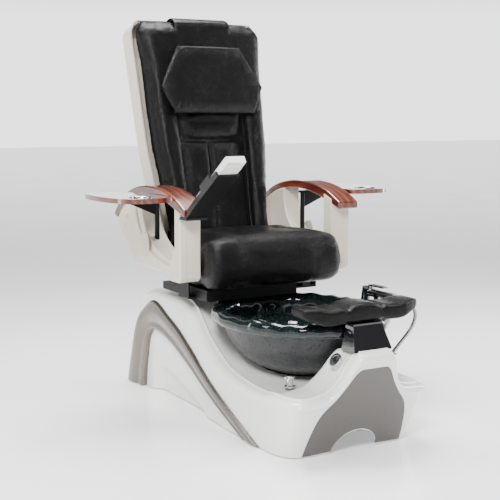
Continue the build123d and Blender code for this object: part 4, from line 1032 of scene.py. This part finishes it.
# %% Head pillow
PILLOW = [(-160, 594), (160, 594), (176, 602), (221, 694), (219, 712), (142, 852), (124, 862), (-124, 862),
          (-142, 852), (-219, 712), (-221, 694), (-176, 602)]
PILLOW_FRONT, PILLOW_REAR = -66.0, -36.0
PILLOW_MIDDLE = 728
pillow_outline = even_line(PILLOW, 110, closed=True, steps=6)
bm = bmesh.new()
slab(bm, [(x, PILLOW_REAR, s) for x, s in pillow_outline], (0, PILLOW_FRONT - PILLOW_REAR, 0))
for vertex in bm.verts:
    vertex.co = LAY_BACK @ vertex.co
pillow = finished("head pillow", bm, "head_pillow", "leather_black", ["head_pillow"])
front_edge = laid([(x * 0.985, PILLOW_FRONT - 1, PILLOW_MIDDLE + (s - PILLOW_MIDDLE) * 0.985)
                   for x, s in pillow_outline[::6]])
front_edge.append(front_edge[0])
pillow_pins = seam_lines([front_edge])
inflated(pillow, 5.0, 4.0, 7.0, lambda p: 1.0 if seam_distance(p, pillow_pins)[0] < HELD_PILLOW else 0.0)
sew(pillow, [front_edge], 2.2, 5.0)
subdivided(pillow)

# %% [markdown]
# ## Footrest pad
# The footrest is one moulded pad with two grooves between three lobes, and ends that turn up so the feet stay
# on. It is a bevelled cube, cut across many times, whose points are moved by the lobe formula.

# %% Footrest pad
REST_HALF, REST_Y, REST_DEPTH = 228.0, -572.0, 124.0
REST_LOW = 434.6


def footrest_point(u, v, w):
    """Maps a cube from -1 to 1 onto the pad."""
    x = REST_HALF * u * (1 - 0.03 * w * w)
    groove = math.exp(-((abs(u) - 0.30) / 0.045) ** 2)
    dish = math.cos(min(1.0, abs((abs(u) - 0.62) / 0.33)) * math.pi / 2) if abs(u) > 0.3 else 0.0
    crown = 10 * math.cos(min(1.0, abs(u) / 0.3) * math.pi / 2) ** 1.2
    lift = 26 * smooth_step(abs(u), 0.55, 1.0)
    thick = 27 - 8 * smooth_step(abs(u), 0.7, 1.0) + crown * 0.5 - groove * 8
    middle = REST_LOW + 27 + lift * 0.55 + crown * 0.4 - dish * 5 - groove * 3
    depth = REST_DEPTH / 2 * (1 - 0.10 * smooth_step(abs(u), 0.7, 1.0) - 0.02 * groove)
    return Vector((x, REST_Y + depth * v, middle + thick * w))


bm = bmesh.new()
bmesh.ops.create_cube(bm, size=2.0)
bmesh.ops.bevel(bm, geom=bm.edges[:], offset=0.42, segments=5, profile=0.5, affect="EDGES", material=-1)
cut(bm, np.linspace(-0.94, 0.94, 49), AXIS_X)
for vertex in bm.verts:
    vertex.co = footrest_point(*vertex.co)
for vertex in bm.verts:
    vertex.co.z = max(vertex.co.z, REST_LOW)
rest_pad = finished("footrest pad", bm, "footrest", "leather_black", ["footrest_cushion"])
subdivided(rest_pad)

# %% [markdown]
# ## Armrest casings
# Each armrest is a hollow moulding in cream plastic: a post in front, a sweeping rear web and an opening for the
# tray's post. The outer face has a raised area that ends in a curved step round the opening.

# %% Wood line, casing outline and raised face
WOOD_TOP = [(-84, 766), (-7, 803), (87, 826), (205, 833), (288, 826), (372, 806), (450, 767), (512, 713)]
WOOD_LOW = [(490, 694), (430, 744), (361, 780), (277, 798), (185, 802), (87, 790), (-8, 764), (-82, 739)]
ARM_IN, ARM_OUT, WOOD_IN, WOOD_OUT = 277.0, 360.0, 279.0, 368.0
FACE_DEPTH, FACE_PROUD = 30, 9
low_line = smooth_line(WOOD_LOW)


def under_wood(y):
    order = np.argsort(low_line[:, 0])
    return float(np.interp(y, low_line[order, 0], low_line[order, 1]))


OPENING = even_line([(48, 575), (120, 589), (203, 624), (270, 684), (292, 752), (294, under_wood(294) + 4)], 34)
STEP_LINE = even_line([(47, 560), (106, 566), (172, 580), (239, 612), (294, 660), (324, 717), (332, 755),
                       (334, under_wood(334) + 4)], 34)
# the casing's outline stays a little inside the raised face, so that the two never share a surface
casing_outline = [(16, 795), (15, 633), (24, 621), (47, 617)] + [tuple(p) for p in OPENING]
casing_outline += [(y, under_wood(y) + 4) for y in (320, 360, 400, 420)]
casing_outline += [(455, 747), (477, 715), (490, 679), (479, 665), (339, 539), (320, 534), (47, 529),
                   (46, 506), (-23, 506), (-37, 520), (-37, 775)]
raised_outline = [(6, 782), (6, 630), (16, 606), (34, 582)] + [tuple(p) for p in STEP_LINE]
raised_outline += [(360, under_wood(360) + 4), (400, under_wood(400) + 4), (421, under_wood(421) + 5),
                   (456, 748), (478, 715), (491, 679), (480, 664), (340, 538), (320, 533), (47, 528),
                   (47, 505), (-24, 505), (-38, 519), (-38, 762)]
HINGE_SCREW = (400.0, 707.0, 7.0)
for name, side in SIDES:
    casing = prism(f"armrest casing {name}", [(side * ARM_IN, y, z) for y, z in casing_outline],
                   (side * (ARM_OUT - FACE_PROUD - ARM_IN), 0, 0), "seat", "casing_cream", [f"armrest_{name}"])
    edged(casing, 5.0, 3)
    face = prism(f"armrest face {name}", [(side * (ARM_OUT - FACE_DEPTH), y, z) for y, z in raised_outline],
                 (side * FACE_DEPTH, 0, 0), "seat", "casing_cream")
    edged(face, 6.0, 4)
    bm = bmesh.new()
    y, z, radius = HINGE_SCREW
    place = Matrix.Translation((side * (ARM_OUT + 0.5), y, z)) @ Matrix.Rotation(math.pi / 2, 4, "Y")
    bmesh.ops.create_cone(bm, cap_ends=True, segments=32, radius1=radius, radius2=radius, depth=3.0,
                          matrix=place)
    edged(finished(f"hinge screw {name}", bm, "seat", "steel_bright"), 0.8, 2)

# %% [markdown]
# ## Arm tops
# The arm tops are bent laminations with a generous rounding on every long edge, which catches a bright line.

# %% Arm tops
arm_outline = [tuple(p) for line in (WOOD_TOP, WOOD_LOW) for p in even_line(line, 40)]
for name, side in SIDES:
    arm = prism(f"arm top {name}", [(side * WOOD_IN, y, z) for y, z in arm_outline],
                (side * (WOOD_OUT - WOOD_IN), 0, 0), "seat", "wood_cherry", [f"arm_top_{name}"])
    edged(arm, 7.0, 4, 35)

# %% [markdown]
# ## Trays
# Each tray is a thin lacquered board with a rounded edge and a chrome dish let into it. The board's outline
# is filled round the dish's hole, then extruded.

# %% Tray boards and dishes
TRAY_TOP, TRAY_T = 807.0, 17.0
DISH, DISH_R = (477.0, 20.0), 39.0
TRAY = [(379, 206), (376, 100), (377, -10), (392, -34), (440, -44), (500, -44), (545, -22), (572, 30),
        (585, 110), (586, 180), (580, 262), (562, 315), (520, 336), (484, 334), (460, 316)]
tray_outline = even_line(TRAY, 120, closed=True, steps=8)
DISH_SECTION = [(0, -12.0), (20, -12.4), (30, -11.5), (35, -8), (37, -3), (38.2, 0.4), (40, 1.7),
                (43.4, 1.4), (44.4, 0.2), (38.7, -1.0), (38.5, -5), (36, -12), (30, -14), (0, -14)]
for name, side in SIDES:
    bm = bmesh.new()
    rim = [bm.verts.new((side * x, y, TRAY_TOP - TRAY_T)) for x, y in tray_outline]
    hole = [bm.verts.new((side * (DISH[0] + DISH_R * math.cos(a)), DISH[1] + DISH_R * math.sin(a),
                          TRAY_TOP - TRAY_T)) for a in np.linspace(0, 2 * math.pi, 49)[:-1]]
    loops = [bm.edges.new(pair) for ring in (rim, hole) for pair in zip(ring, ring[1:] + ring[:1])]
    filled = bmesh.ops.triangle_fill(bm, use_beauty=True, edges=loops)["geom"]
    faces = [f for f in filled if isinstance(f, bmesh.types.BMFace)]
    made = bmesh.ops.extrude_face_region(bm, geom=faces)["geom"]
    bmesh.ops.translate(bm, vec=(0, 0, TRAY_T), verts=[v for v in made if isinstance(v, bmesh.types.BMVert)])
    board = finished(f"tray {name}", bm, f"tray_{name}", "wood_cherry", [f"tray_{name}"])
    edged(board, 4.5, 3, 50)
    bm = bmesh.new()
    spun(bm, DISH_SECTION, 64)
    bmesh.ops.translate(bm, vec=(side * DISH[0], DISH[1], TRAY_TOP), verts=bm.verts)
    dish = finished(f"tray dish {name}", bm, f"tray_{name}", "chrome", [f"tray_dish_{name}"])
    subdivided(dish)

# %% [markdown]
# ## The remote's dark face
# Most of the remote is a dark glossy window, and only its far end shows the pale case. The window is a slab
# round the case, drawn along the holder's own slope.

# %% Remote window
HOLDER_AT, HOLDER_RISE = Vector((-322, -90, 736)), 34.7
HOLDER_PLACE = (Matrix.Translation(HOLDER_AT) @ Matrix.Rotation(math.radians(180 - HOLDER_RISE), 4, "X")
                @ Matrix.Rotation(math.pi, 4, "Y"))
window = [(-33.7, 101), (33.7, 101), (33.7, 262), (28, 270), (-28, 270), (-33.7, 262)]
pane = prism("remote window", [tuple(HOLDER_PLACE @ Vector((x, y, 9))) for x, y in window],
             HOLDER_PLACE.to_3x3() @ Vector((0, 0, 22.2)), "remote", "black_mirror")
edged(pane, 1.5, 3)

# %% [markdown]
# ## The hand shower's hose
# The hose leaves a collar on the deck, stands up in a short bow and runs into the shower's handle. A NURBS
# curve that follows the drawn route gives it one smooth line, and its own width gives the tube.

# %% Hose
HOSE_ROUTE = [(226, -458, 225), (226, -458, 255), (229, -486, 288), (237, -520, 330), (248, -553, 374),
              (254, -570, 420), (248, -560, 455), (240, -530, 468), (240, -490, 468)]
HOSE_R = 6.5
curve = bpy.data.curves.new("hose", "CURVE")
curve.dimensions = "3D"
curve.bevel_depth = HOSE_R * MM
curve.bevel_resolution = 6
curve.resolution_u = 24
curve.use_fill_caps = True
line = curve.splines.new("NURBS")
line.points.add(len(HOSE_ROUTE) - 1)
for point, place in zip(line.points, HOSE_ROUTE):
    point.co = (*[value * MM for value in place], 1)
line.order_u = 3
line.use_endpoint_u = True
hose = bpy.data.objects.new("shower_hose", curve)
scene.collection.objects.link(hose)
hose.data.materials.append(hose_steel.material)
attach(hose, "base")
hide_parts("spray_hose")

# %% [markdown]
# ## Finish
# The view layer is updated once every piece is placed.

# %% Finish
bpy.context.view_layer.update()
